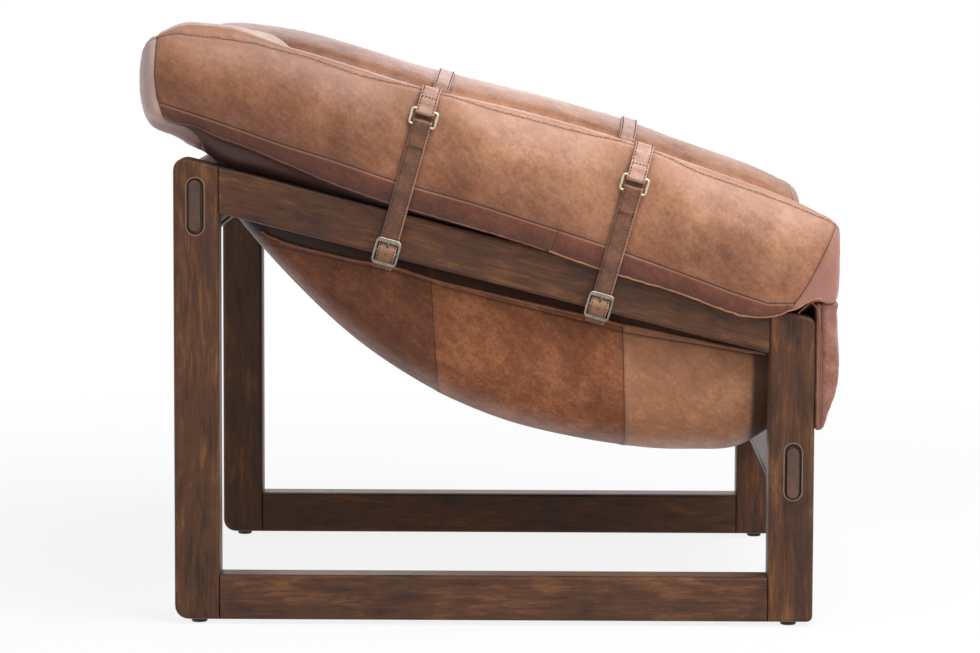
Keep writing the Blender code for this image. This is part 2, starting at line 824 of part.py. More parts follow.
def arm_mesh_section(y):
    """The arm cushion's section between two stations, as its flat faces make it."""
    index = max(i for i, station in enumerate(arm_stations[:-1]) if station <= max(y, arm_stations[0]))
    low, high = arm_stations[index], arm_stations[index + 1]
    share = (y - low) / (high - low)
    return [
        (x0 + (x1 - x0) * share, z0 + (z1 - z0) * share)
        for (x0, z0), (x1, z1) in zip(arm_section(low), arm_section(high))
    ]


def arm_cushion():
    """The right arm cushion, from its front end to its back end."""
    rings = [[(x, y, z) for x, z in arm_section(y)] for y in arm_stations]

    def end_cap(ring, reach, squeeze):
        low = min(z for _, _, z in ring)
        high = max(z for _, _, z in ring)
        middle = Vector((-arm_outside + arm_width / 2, ring[0][1], (low + high) / 2 + arm_lip_rise))
        return [tuple(middle + (Vector(point) - middle) * squeeze + Vector((0, reach, 0))) for point in ring]

    front_rings = [end_cap(rings[0], -arm_front_crown * out, size) for out, size in arm_front_cap_shares]
    back_rings = [end_cap(rings[-1], arm_end_crown * out, size) for out, size in arm_back_cap_shares]
    return mesh_of(loft(front_rings + rings + back_rings), "arm_cushion")


def arm_cushions():
    mesh = arm_cushion()
    place("arm_cushion_right", mesh, tan_leather, smooth=50)
    place("arm_cushion_left", mirrored(mesh), tan_leather, smooth=50)


def pillow(outline_at):
    """A cushion lofted across X over the seat's own columns: outline_at(x) gives its profile in Y and Z."""
    shares = [-share for share in reversed(bed_shares[1:])] + bed_shares
    rings = []
    for share in shares:
        x = share * sling_half_width
        rings.append([(x, y, z) for y, z in outline_at(x)])
    return loft(rings)


def across(x):
    """How much of its crown a cushion has at x, and how far it is drawn in towards its side."""
    share = abs(x) / cushion_half_width
    return 1 - share**2, cushion_drawn_in * share**cushion_drawn_power


def bed_rows(first, last):
    """The seat's own rows between two places, with those places at the ends."""
    inner = [y for y in sling_rows if first + cushion_puff < y < last - cushion_puff]
    return [first] + inner + [last]


def on_bed(x, y):
    """Height of a cushion's underside on the flat facets between the seat's rows."""
    index = max(i for i, row in enumerate(sling_rows[:-1]) if row <= y)
    low, high = sling_rows[index], sling_rows[index + 1]
    first, second = (above_sling(x, row, cushion_seat_gap) for row in (low, high))
    return first + (second - first) * (y - low) / (high - low)


seat_back_foot = sling_rows[seat_bottom_rows]


def seat_outline(x):
    crown, pull = across(x)
    nose = -half_depth - seat_nose_reach + pull
    front_top = seat_front_height - pull
    back_top = seat_back_height - pull
    bottom = [(y, on_bed(x, y)) for y in bed_rows(sling_first_y, seat_back_foot)]
    foot_height = bottom[-1][1]
    middle_y = (seat_back_foot + seat_back_head) / 2
    back = [
        (middle_y + cushion_puff, (foot_height + back_top) / 2),
        (seat_back_head, back_top),
    ]
    top = []
    for share in seat_top_shares:
        y = seat_back_head + (nose + seat_nose_radius - seat_back_head) * share
        rise = seat_crown * crown * math.sin(math.pi * share)
        top.append((y, back_top + (front_top - back_top) * share + rise))
    nose_low = apron_top_height + cushion_meeting_gap
    behind_apron = -half_depth + cushion_meeting_gap
    front_face = arc((nose + seat_nose_radius, front_top - seat_nose_radius), seat_nose_radius, 90, 180, 3)
    front_face += [
        (nose + cushion_puff, nose_low),
        (behind_apron, nose_low),
        (behind_apron + cushion_puff, (nose_low + front_rail_top) / 2),
        (behind_apron + seat_front_inset, front_rail_top + seat_front_rise),
    ]
    return bottom + back + top + front_face


def seat_cushion():
    place("seat_cushion", mesh_of(pillow(seat_outline), "seat_cushion"), tan_leather, smooth=50)


def back_outline(x):
    crown, pull = across(x)
    foot = seat_back_foot + cushion_meeting_gap * 3
    head = seat_back_head + cushion_meeting_gap * 2
    last = sling_last_y - sling_thickness - cushion_meeting_gap
    rear = [(y, on_bed(x, y)) for y in bed_rows(foot, last)]
    over_rail = back_rail_top + sleeve_gap + sling_thickness + cushion_meeting_gap
    roll_back = half_depth + back_roll_reach - pull
    top = back_cushion_height - pull
    rise = top - over_rail
    roll = [
        (sling_last_y - sling_thickness, over_rail),
        (half_depth - back_roll_lift, over_rail + back_roll_lift),
    ]
    for out, share in back_roll_shares:
        roll.append((half_depth + (roll_back - half_depth) * out, over_rail + rise * share))
    roll += [
        (half_depth + back_roll_reach / 3, top),
        (half_depth - back_roll_reach, top + back_cushion_crown * crown / 2),
        (back_cushion_head + back_roll_lift, top),
    ]
    face_low = (head, seat_back_height + cushion_meeting_gap)
    face = []
    for share in back_face_shares:
        y = back_cushion_head + (head - back_cushion_head) * share
        bulge = back_cushion_crown * crown * math.sin(math.pi * share)
        face.append((y - bulge + pull * (1 - share), top + (face_low[1] - top) * share))
    low_middle = ((foot + head) / 2 + cushion_puff * 2, (rear[0][1] + seat_back_height) / 2)
    return rear + roll + face + [face_low, low_middle]


def back_cushion():
    place("back_cushion", mesh_of(pillow(back_outline), "back_cushion"), tan_leather, smooth=50)


def front_apron():
    """The padded front panel that hangs before the front legs."""
    rear = -half_depth - joint_gap
    low, high = apron_low_height, apron_top_height
    outline = arc((rear - apron_softening / 2, low + apron_softening / 2), apron_softening / 2, 0, -90, 2)
    for height_share, thickness_share in apron_face_shares:
        outline.append((rear - apron_thickness * thickness_share, low + (high - low) * height_share))
    outline.append((rear, high))
    bm = extrusion(outline, -half_width, half_width, apron_softening / 2, segments=2)
    place("front_apron", mesh_of(bm, "front_apron"), brown_leather)


def offset_route(route, distance):
    """The points of a route in a plane, each moved square to it by a distance."""
    moved = []
    for index, point in enumerate(route):
        before = route[max(index - 1, 0)]
        after = route[min(index + 1, len(route) - 1)]
        first = Vector((point[0] - before[0], point[1] - before[1]))
        second = Vector((after[0] - point[0], after[1] - point[1]))
        if first.length == 0:
            first = second
        if second.length == 0:
            second = first
        first.normalize()
        second.normalize()
        bisector = Vector((-first.y - second.y, first.x + second.x)).normalized()
        stretch = max(0.5, bisector.dot(Vector((-first.y, first.x))))
        moved.append((point[0] + bisector.x * distance / stretch, point[1] + bisector.y * distance / stretch))
    return moved


def ribbon(route, width=strap_width, thickness=strap_thickness):
    """A flat strap whose middle follows a route in X and Z, drawn out along Y."""
    left = offset_route(route, thickness / 2)
    right = offset_route(route, -thickness / 2)
    bm = bmesh.new()
    rows = []
    for a, b in zip(left, right):
        rows.append([bm.verts.new((x, side * width / 2, z)) for side, (x, z) in
                     ((-1, a), (1, a), (1, b), (-1, b))])
    for row, following in zip(rows, rows[1:]):
        for index in range(4):
            after = (index + 1) % 4
            bm.faces.new((row[index], row[after], following[after], following[index]))
    bm.faces.new(rows[0])
    bm.faces.new(rows[-1])
    return bm


def strap_origin(y):
    """Where the middle of a strap set's frame lies: on the rail's outer face, behind the buckle's pin."""
    return Vector((0, y, rail_bottom(y) + buckle_above_rail_edge))


def strap_point(place_y, height):
    """Where a height up a strap lies in the chair, in Y and Z."""
    origin = strap_origin(place_y)
    return origin.y - height * math.sin(strap_tilt), origin.z + height * math.cos(strap_tilt)


def arm_skin(place_y):
    """The arm cushion's section in a strap's own plane: stand-off from the rail's face, and height."""
    origin = strap_origin(place_y)
    skin = []
    for index in range(len(arm_section(place_y))):
        y = place_y
        for _ in range(12):
            x, z = arm_mesh_section(y)[index]
            y = origin.y - (z - origin.z) * math.tan(strap_tilt)
        skin.append((-x - half_width, (z - origin.z) / math.cos(strap_tilt)))
    return skin


def skin_out(skin, height):
    """Stand-off of the arm cushion's outer side at a height in a strap's plane."""
    outer_side = skin[:8]
    for (x0, z0), (x1, z1) in zip(outer_side, outer_side[1:]):
        if z0 >= height >= z1:
            return x0 + (x1 - x0) * (z0 - height) / (z0 - z1)
    return outer_side[-1][0]


loop_radius = ring_wire_radius + loop_gap + strap_thickness / 2


def ring_out(place_y, ring_rise):
    """Stand-off of a ring, which lies on the strap that lies on the arm cushion."""
    skin = arm_skin(place_y)
    highest = max(skin_out(skin, ring_rise + side * ring_height / 2) for side in (-1, 0, 1))
    return highest + strap_gap + strap_thickness + loop_gap + ring_wire_radius


def upper_strap_route(place_y, ring_rise):
    """From the arm cushion's inner side over its top, down its outer side and round the ring's top bar."""
    skin = arm_skin(place_y)
    lift = strap_gap + strap_thickness / 2
    bar = ring_rise + ring_height / 2 - ring_wire_radius
    near = ring_out(place_y, ring_rise) - loop_radius
    y = strap_point(place_y, skin[0][1])[0]
    slope = (arm_top(y + strap_width) - arm_top(y - strap_width)) / (2 * strap_width)
    twist = abs(math.atan(slope) - strap_tilt)
    over_top = offset_route([skin[-5]] + skin[-4:] + skin[:2], lift + strap_width / 2 * math.tan(twist))
    inner_end = ((over_top[0][0] + over_top[1][0]) / 2, (over_top[0][1] + over_top[1][1]) / 2)
    route = [inner_end] + over_top[1:-1]
    route.append((near, bar + ring_loop_tail))
    route += arc((near + loop_radius, bar), loop_radius, 180, 360, 6)
    tail = near + strap_thickness + loop_gap
    route.append((tail + loop_gap, bar + ring_loop_tail * 0.6))
    route.append((tail, bar + ring_loop_tail))
    return route


anchor_radius = buckle_pin_radius + loop_gap + anchor_thickness / 2
belt_crest = buckle_pin_out + anchor_radius + anchor_thickness / 2 + strap_gap + strap_thickness / 2
belt_under_bar = buckle_face_out - buckle_bar_depth - strap_thickness / 2 - loop_gap


def lower_strap_route(place_y, ring_rise):
    """Round the ring's lower bar, down over the cushion's strip, and through the buckle to the tip."""
    skin = arm_skin(place_y)
    lift = strap_gap + strap_thickness / 2
    bar = ring_rise - ring_height / 2 + ring_wire_radius
    near = ring_out(place_y, ring_rise) - loop_radius
    tail = near + strap_thickness + loop_gap
    route = [(tail, bar - ring_loop_tail), (tail + loop_gap, bar - ring_loop_tail * 0.6)]
    route += arc((near + loop_radius, bar), loop_radius, 0, 180, 6)
    route.append((near, bar - ring_loop_tail))
    on_cushion = offset_route(skin[1:8], lift)[:-1]
    route += [point for point in on_cushion if point[1] < bar - ring_loop_tail - strap_thickness]
    strip_low = skin[7][1] + arm_lip_rise
    route.append((skin_out(skin, strip_low) + lift * 1.2, strip_low))
    top_bar_low = buckle_height / 2 - buckle_top_bar
    bottom_bar_high = buckle_bottom_bar - buckle_height / 2
    route.append((belt_under_bar, buckle_height / 2 + pin_fit))
    route.append((belt_under_bar, top_bar_low - pin_fit))
    route.append((belt_crest, hole_radius * 2))
    route.append((belt_crest, -hole_radius * 2))
    route.append((belt_under_bar, bottom_bar_high + pin_fit))
    route.append((belt_under_bar, -belt_tail))
    return route


def stand_off(route, height):
    """How far out a strap's route lies at a height, on its way through the buckle."""
    for (x0, z0), (x1, z1) in zip(route[-6:], route[-5:]):
        if z0 >= height >= z1:
            return x0 + (x1 - x0) * (z0 - height) / (z0 - z1)
    return route[-1][0]


def slot_cutter(out, height, length, width, reach):
    """A peg along X with a slotted section, which cuts a strap."""
    radius = width / 2
    straight = length / 2 - radius
    outline = arc((0, height + straight), radius, 0, 180, 4)
    outline += arc((0, height - straight), radius, 180, 360, 4)
    return mesh_of(extrusion(outline, out - reach, out + reach), "slot")


def hole_cutter(out, height, reach):
    """A round peg along X, which cuts a strap."""
    outline = arc((0, height), hole_radius, 0, 360, 8)[:-1]
    return mesh_of(extrusion(outline, out - reach, out + reach), "hole")


def lower_strap(place_y, ring_rise):
    route = lower_strap_route(place_y, ring_rise)
    reach = 2 * strap_thickness
    out = stand_off(route, tongue_hole_place)
    cutters = [slot_cutter(out, tongue_hole_place, tongue_hole_length, tongue_hole_width, reach)]
    for count in (1, 2):
        height = tongue_hole_place - hole_pitch * count
        cutters.append(hole_cutter(stand_off(route, height), height, reach))
    return carved(mesh_of(ribbon(route), "lower_strap"), cutters)


def anchor_strap():
    """Doubled round the buckle's pin, then under the rail and up its inner face."""
    half = anchor_thickness / 2
    under = -buckle_above_rail_edge - rail_wrap_gap - half
    inner = -stock_thickness - rail_wrap_gap - half
    close = rail_wrap_gap + half
    route = [
        (close + anchor_thickness + loop_gap * 2, under + anchor_thickness),
        (buckle_pin_out + anchor_radius * 0.6, -anchor_radius * 1.5),
    ]
    route += arc((buckle_pin_out, 0), anchor_radius, -20, 180, 7)
    route += [
        (close, -buckle_above_rail_edge * 0.8),
        (close - edge_softening / 4, under + edge_softening / 8),
        (close - edge_softening, under),
        (inner + edge_softening, under),
        (inner, under + edge_softening),
        (inner, under + anchor_rise),
    ]
    slot = slot_cutter(buckle_pin_out, 0, anchor_slot_length, anchor_slot_width, 3 * anchor_radius)
    return carved(mesh_of(ribbon(route, strap_width, anchor_thickness), "anchor_strap"), [slot])


def ring():
    """A rectangular loop of round wire in the Y and Z plane, its corners rounded."""
    half_y = ring_width / 2 - ring_wire_radius
    half_z = ring_height / 2 - ring_wire_radius
    radius = ring_corner_radius
    corners = [(half_y, half_z, 0), (-half_y, half_z, 90), (-half_y, -half_z, 180), (half_y, -half_z, 270)]
    path = []
    for y, z, start in corners:
        centre = (y - math.copysign(radius, y), z - math.copysign(radius, z))
        path += arc(centre, radius, start, start + 90, 3)
    rings = []
    count = len(path)
    for index in range(count):
        before, here, after = path[index - 1], path[index], path[(index + 1) % count]
        along = Vector((0, after[0] - before[0], after[1] - before[1])).normalized()
        across = Vector((0, -along.z, along.y))
        outward = Vector((1, 0, 0))
        middle = Vector((0, here[0], here[1]))
        rings.append([
            middle + (outward * math.cos(turn) + across * math.sin(turn)) * ring_wire_radius
            for turn in (math.tau * side / 6 for side in range(6))
        ])
    return mesh_of(loft(rings + [rings[0]], cap_start=False, cap_end=False), "ring")


def closed_ring():
    """The ring with its first and last wire sections welded."""
    bm = bmesh.new()
    bm.from_mesh(ring())
    bmesh.ops.remove_doubles(bm, verts=bm.verts, dist=joint_gap / 10)
    return mesh_of(bm, "ring")


def buckle_frame():
    """A rounded frame with a wide top bar, and two lugs behind it that hold the pin."""
    half_y = buckle_width / 2
    half_z = buckle_height / 2
    radius = buckle_corner_radius
    outer, inner = [], []
    for y_side, z_side, start in ((1, 1, 0), (-1, 1, 90), (-1, -1, 180), (1, -1, 270)):
        bar = buckle_top_bar if z_side > 0 else buckle_bottom_bar
        outer += arc((y_side * (half_y - radius), z_side * (half_z - radius)), radius, start, start + 90, 3)
        inner_y = half_y - buckle_side_bar - buckle_inner_radius
        inner_z = half_z - bar - buckle_inner_radius
        inner += arc((y_side * inner_y, z_side * inner_z), buckle_inner_radius, start, start + 90, 3)
    back, front = buckle_face_out - buckle_bar_depth, buckle_face_out
    softened = buckle_softening

    def shrunk(points, amount):
        return [(y - math.copysign(amount, y), z - math.copysign(amount, z)) for y, z in points]

    rings = [
        [(back, y, z) for y, z in outer],
        [(front - softened, y, z) for y, z in outer],
        [(front, y, z) for y, z in shrunk(outer, softened)],
        [(front, y, z) for y, z in shrunk(inner, -softened / 2)],
        [(front - softened, y, z) for y, z in inner],
        [(back, y, z) for y, z in inner],
    ]
    bm = loft(rings + [rings[0]], cap_start=False, cap_end=False)
    bmesh.ops.remove_doubles(bm, verts=bm.verts, dist=joint_gap / 10)
    lug_back = buckle_pin_out - buckle_pin_radius * 2
    lugs = []
    for side in (-1, 1):
        middle = side * (half_y - buckle_side_bar / 2)
        width = buckle_side_bar * 0.94
        outline = [
            (middle - width / 2, -buckle_lug_length / 2),
            (middle + width / 2, -buckle_lug_length / 2),
            (middle + width / 2, buckle_lug_length / 2),
            (middle - width / 2, buckle_lug_length / 2),
        ]
        lugs.append(mesh_of(extrusion(outline, lug_back, back + buckle_bar_depth / 2), "lug"))
    joined = carved(mesh_of(bm, "buckle_frame"), lugs, "UNION")
    turn = Matrix.Translation((buckle_pin_out, 0, 0)) @ Matrix.Rotation(math.radians(90), 4, "X")
    hole = cylinder(buckle_pin_radius + pin_fit, buckle_width + cut_overrun, turn, sides=12)
    return carved(joined, [mesh_of(hole, "pin_hole")])


def buckle_pin():
    turn = Matrix.Rotation(math.radians(90), 4, "X")
    return mesh_of(cylinder(buckle_pin_radius, buckle_width, turn, sides=12), "buckle_pin")


def tongue():
    """An eye round the pin and a cranked prong through the belt on to the top bar; the pin is its origin."""
    eye_radius = buckle_pin_radius + pin_fit + tongue_radius
    rest_out = buckle_face_out + pin_fit + tongue_radius - buckle_pin_out
    route = arc((0, 0), eye_radius, 60, -170, 6)
    route += [
        (-eye_radius * 0.8, eye_radius * 1.2),
        (0, tongue_crank_place - 2 * tongue_radius),
        (tongue_radius, tongue_crank_place - tongue_radius * 1.4),
        (rest_out - tongue_radius / 2, tongue_crank_place - tongue_radius * 0.3),
        (rest_out, tongue_crank_place + tongue_radius * 0.7),
        (rest_out, tongue_reach),
    ]
    rings = []
    for index, here in enumerate(route):
        before = route[max(index - 1, 0)]
        after = route[min(index + 1, len(route) - 1)]
        along = Vector((after[0] - before[0], 0, after[1] - before[1])).normalized()
        across = Vector((-along.z, 0, along.x))
        sideways = Vector((0, 1, 0))
        middle = Vector((here[0], 0, here[1]))
        rings.append([
            middle + (across * math.cos(turn) + sideways * math.sin(turn)) * tongue_radius
            for turn in (math.tau * side / 6 for side in range(6))
        ])
    return mesh_of(loft(rings), "tongue")


def strap_sets():
    """Four sets: an upper strap, a ring, a lower strap and a buckle on each arm, rear and front."""
    frame_mesh = buckle_frame()
    ring_mesh = closed_ring()
    pin_mesh = buckle_pin()
    tongue_mesh = tongue()
    anchor_mesh = anchor_strap()
    for end, share, ring_rise in (
        ("rear", rear_strap_share, rear_ring_rise),
        ("front", front_strap_share, front_ring_rise),
    ):
        place_y = frame_depth * (share - 0.5)
        upper_mesh = mesh_of(ribbon(upper_strap_route(place_y, ring_rise)), "upper_strap")
        lower_mesh = lower_strap(place_y, ring_rise)
        origin = strap_origin(place_y)
        for side, sign in (("left", 1), ("right", -1)):
            frame = bpy.data.objects.new(f"strap_frame_{end}_{side}", None)
            bpy.context.collection.objects.link(frame)
            turn = Matrix.Rotation(strap_tilt, 4, "X")
            if sign < 0:
                turn = turn @ Matrix.Rotation(math.pi, 4, "Z")
            frame.matrix_world = Matrix.Translation((sign * half_width, origin.y, origin.z)) @ turn
            where = f"_{end}_{side}"
            place("upper_strap" + where, upper_mesh.copy(), strap_leather, parent=frame)
            place("ring" + where, ring_mesh.copy(), nickel, (ring_out(place_y, ring_rise), 0, ring_rise), frame)
            place("lower_strap" + where, lower_mesh.copy(), strap_leather, parent=frame)
            place("anchor_strap" + where, anchor_mesh.copy(), strap_leather, parent=frame)
            place("buckle_frame" + where, frame_mesh.copy(), nickel, parent=frame)
            place("buckle_pin" + where, pin_mesh.copy(), nickel, (buckle_pin_out, 0, 0), frame)
            place("buckle_tongue" + where, tongue_mesh.copy(), nickel, (buckle_pin_out, 0, 0), frame)


def centre_whole_chair():
    """Bring the middle of the whole chair over the origin: the arm cushions reach further behind than before."""
    shift = (arm_end_crown - arm_front_crown) / 2
    for piece in bpy.data.objects:
        if piece.parent is None:
            piece.location.y -= shift


for old in list(bpy.data.objects):
    bpy.data.objects.remove(old)
side_frames()
loose_tenons()
cross_rails()
glides()
sling()
arm_cushions()
seat_cushion()
back_cushion()
front_apron()
strap_sets()
centre_whole_chair()
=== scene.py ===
"""A low lounge chair: two dark wooden side frames, a slung leather seat, draped leather cushions and buckled straps.

It faces -Y and stands on Z = 0. The near side in the main view is its right side, at -X.
"""
import math

import bmesh
import bpy
import numpy as np
from mathutils import Matrix, Vector, noise
from mathutils.bvhtree import BVHTree


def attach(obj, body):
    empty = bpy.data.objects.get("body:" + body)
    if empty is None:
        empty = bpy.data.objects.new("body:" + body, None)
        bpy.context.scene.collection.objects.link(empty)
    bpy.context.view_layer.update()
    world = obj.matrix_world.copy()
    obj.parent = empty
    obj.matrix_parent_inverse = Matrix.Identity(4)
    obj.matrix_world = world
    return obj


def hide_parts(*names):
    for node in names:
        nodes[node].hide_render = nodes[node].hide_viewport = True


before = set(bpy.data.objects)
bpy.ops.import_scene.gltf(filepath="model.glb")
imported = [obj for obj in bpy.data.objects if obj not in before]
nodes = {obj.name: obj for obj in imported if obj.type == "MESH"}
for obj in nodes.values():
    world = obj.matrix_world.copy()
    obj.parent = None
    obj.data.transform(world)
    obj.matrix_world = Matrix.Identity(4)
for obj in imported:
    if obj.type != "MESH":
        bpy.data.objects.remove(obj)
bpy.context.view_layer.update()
scene = bpy.context.scene
chair_body = "frame_and_upholstery"

# The studio: a long lens almost level with the chair's right side, a white floor that keeps a faint
# shadow, a large soft box overhead, one at each end and a gentle fill from the camera's and the far side.
camera_place = Vector((-5.0597, -0.0563, 0.8114))
camera_yaw, camera_pitch, camera_roll = math.radians(0.670), math.radians(5.362), 0.00303
camera_data = bpy.data.cameras.new("camera")
camera_data.sensor_width = 36
camera_data.lens = 139.45


def placed(name, data):
    """A new object in the scene."""
    made = bpy.data.objects.new(name, data)
    scene.collection.objects.link(made)
    return made


camera = placed("camera", camera_data)
scene.camera = camera
forward = Vector((math.cos(camera_pitch) * math.cos(camera_yaw), math.cos(camera_pitch) * math.sin(camera_yaw),
                  -math.sin(camera_pitch)))
level_right = Vector((math.sin(camera_yaw), -math.cos(camera_yaw), 0))
level_up = level_right.cross(forward)
camera_right = level_right * math.cos(camera_roll) + level_up * math.sin(camera_roll)
camera_up = level_up * math.cos(camera_roll) - level_right * math.sin(camera_roll)
camera_turn = Matrix((camera_right, camera_up, -forward)).transposed()
camera.matrix_world = Matrix.Translation(camera_place) @ camera_turn.to_4x4()
scene.view_settings.view_transform = "Standard"


def wire(tree, kind, sockets=None, **settings):
    """Add a shader node, with its settings, and give its sockets values or links."""
    made = tree.nodes.new(kind)
    for name, value in settings.items():
        setattr(made, name, value)
    for name, source in (sockets or {}).items():
        if isinstance(source, bpy.types.NodeSocket):
            tree.links.new(source, made.inputs[name])
        else:
            made.inputs[name].default_value = source
    return made


def calc(tree, operation, first, second=0.0):
    return wire(tree, "ShaderNodeMath", {0: first, 1: second}, operation=operation).outputs[0]


def times(tree, first, second):
    return calc(tree, "MULTIPLY", first, second)


def ranged(tree, value, low, high, to_low=0.0, to_high=1.0, kind="SMOOTHSTEP"):
    """A value brought from one range to another."""
    sockets = {"Value": value, "From Min": low, "From Max": high, "To Min": to_low, "To Max": to_high}
    return wire(tree, "ShaderNodeMapRange", sockets, interpolation_type=kind).outputs["Result"]


def blended(tree, share, first, second, blend="MIX"):
    """A colour between two others, or one laid over the other."""
    sockets = {0: share, 6: first, 7: second}
    return wire(tree, "ShaderNodeMix", sockets, data_type="RGBA", blend_type=blend).outputs[2]


def new_material(name):
    material = bpy.data.materials.new(name)
    material.use_nodes = True
    material.node_tree.nodes.clear()
    return material, material.node_tree


def object_place(tree):
    return wire(tree, "ShaderNodeTexCoord").outputs["Object"]


def seen_directly(tree):
    """1 where the backdrop is seen, or mirrored, and 0 where it lights the chair."""
    rays = wire(tree, "ShaderNodeLightPath")
    mirrored = calc(tree, "MAXIMUM", rays.outputs["Is Glossy Ray"], rays.outputs["Is Transmission Ray"])
    return calc(tree, "MAXIMUM", rays.outputs["Is Camera Ray"], mirrored)


world = bpy.data.worlds.new("studio")
scene.world = world
world.use_nodes = True
sky = world.node_tree
sky.nodes.clear()
backdrop = wire(sky, "ShaderNodeBackground", {"Color": (1, 1, 1, 1), "Strength": 1.0})
daylight = wire(sky, "ShaderNodeBackground", {"Color": (0.97, 0.97, 1, 1), "Strength": 0.26})
shown = wire(sky, "ShaderNodeMixShader", {0: seen_directly(sky), 1: daylight.outputs[0], 2: backdrop.outputs[0]})
wire(sky, "ShaderNodeOutputWorld", {"Surface": shown.outputs[0]})

floor_mesh = bmesh.new()
bmesh.ops.create_grid(floor_mesh, x_segments=1, y_segments=1, size=14)
floor_data = bpy.data.meshes.new("studio_floor")
floor_mesh.to_mesh(floor_data)
floor_mesh.free()
floor = placed("studio_floor", floor_data)
floor_material, tree = new_material("studio_floor")
reach = wire(tree, "ShaderNodeVectorMath", {0: object_place(tree)}, operation="LENGTH").outputs["Value"]
faded = ranged(tree, reach, 0.7, 2.6, 0.86, 1.0)
pale = wire(tree, "ShaderNodeBsdfDiffuse", {"Color": (0.8, 0.8, 0.8, 1)})
white = wire(tree, "ShaderNodeEmission", {"Color": (1, 1, 1, 1), "Strength": 1.0})
share = times(tree, seen_directly(tree), faded)
surface = wire(tree, "ShaderNodeMixShader", {0: share, 1: pale.outputs[0], 2: white.outputs[0]})
wire(tree, "ShaderNodeOutputMaterial", {"Surface": surface.outputs[0]})
floor_data.materials.append(floor_material)


def soft_box(name, place, aim, width, height, watts):
    lamp = bpy.data.lights.new(name, "AREA")
    lamp.shape = "RECTANGLE"
    lamp.size = width
    lamp.size_y = height
    lamp.energy = watts
    box = placed(name, lamp)
    direction = Vector(aim) - Vector(place)
    box.matrix_world = Matrix.Translation(place) @ direction.to_track_quat("-Z", "Y").to_matrix().to_4x4()


soft_box("box_overhead", (-1.2, -1.0, 3.0), (0, -0.1, 0.4), 2.4, 2.4, 92)
soft_box("box_front", (-1.8, -3.0, 1.6), (0, 0, 0.4), 1.6, 2.2, 29)
soft_box("box_back", (-1.0, 3.0, 1.5), (0, 0, 0.4), 1.4, 2.0, 13)
soft_box("box_camera", (-3.2, -2.0, 2.2), (0, -0.1, 0.5), 2.2, 1.6, 36)
soft_box("box_far_side", (3.2, 0.2, 2.0), (0, 0, 0.4), 2.4, 1.8, 22)

# The side frames and cross rails: dark oiled walnut, cut from straight stock, the grain along each length.
# They stay as the solids give them; each gets the direction of its own grain as an attribute.
rail_lean = math.radians(14.1)
recess_radius, recess_reach = 0.0105, 0.0245
recess_places = ((0.362, 0.5206), (-0.3775, 0.1942))


def srgb(red, green, blue):
    """A colour given in the 0 to 255 of a screen, as the shader needs it."""
    linear = [value / 255 / 12.92 if value <= 10 else ((value / 255 + 0.055) / 1.055) ** 2.4
              for value in (red, green, blue)]
    return (*linear, 1)


def recess_distance(tree, spot):
    """How far a point lies outside the routed recesses round the tenons' ends."""
    split = wire(tree, "ShaderNodeSeparateXYZ", {0: spot})
    nearest = None
    for y, z in recess_places:
        aside = calc(tree, "ABSOLUTE", calc(tree, "SUBTRACT", split.outputs["Y"], y))
        tall = calc(tree, "ABSOLUTE", calc(tree, "SUBTRACT", split.outputs["Z"], z))
        beyond = calc(tree, "MAXIMUM", calc(tree, "SUBTRACT", tall, recess_reach), 0.0)
        flat = wire(tree, "ShaderNodeCombineXYZ", {0: aside, 1: beyond}).outputs[0]
        away = wire(tree, "ShaderNodeVectorMath", {0: flat}, operation="LENGTH").outputs["Value"]
        away = calc(tree, "SUBTRACT", away, recess_radius)
        nearest = away if nearest is None else calc(tree, "MINIMUM", nearest, away)
    return nearest


def attribute(tree, name, output="Fac"):
    return wire(tree, "ShaderNodeAttribute", attribute_name=name).outputs[output]


def noise_of(tree, place, scale, detail, rough=0.5, distortion=0.0):
    sockets = {"Vector": place, "Scale": scale, "Detail": detail, "Roughness": rough, "Distortion": distortion}
    return wire(tree, "ShaderNodeTexNoise", sockets).outputs["Fac"]


def weighed(tree, *parts):
    """The sum of values, each times its own weight."""
    total = 0.0
    for value, weight in parts:
        total = calc(tree, "ADD", total, times(tree, value, weight))
    return total


def bumped(tree, height, distance, strength):
    return wire(tree, "ShaderNodeBump", {"Height": height, "Distance": distance, "Strength": strength}).outputs[0]


def surfaced(tree, sockets):
    """The material's shader, with its sockets, as its surface."""
    shader = wire(tree, "ShaderNodeBsdfPrincipled", sockets)
    wire(tree, "ShaderNodeOutputMaterial", {"Surface": shader.outputs[0]})


def covered(piece, material, smooth=True):
    """Give a piece its one material."""
    piece.data.materials.clear()
    piece.data.materials.append(material)
    if smooth:
        piece.data.shade_smooth()


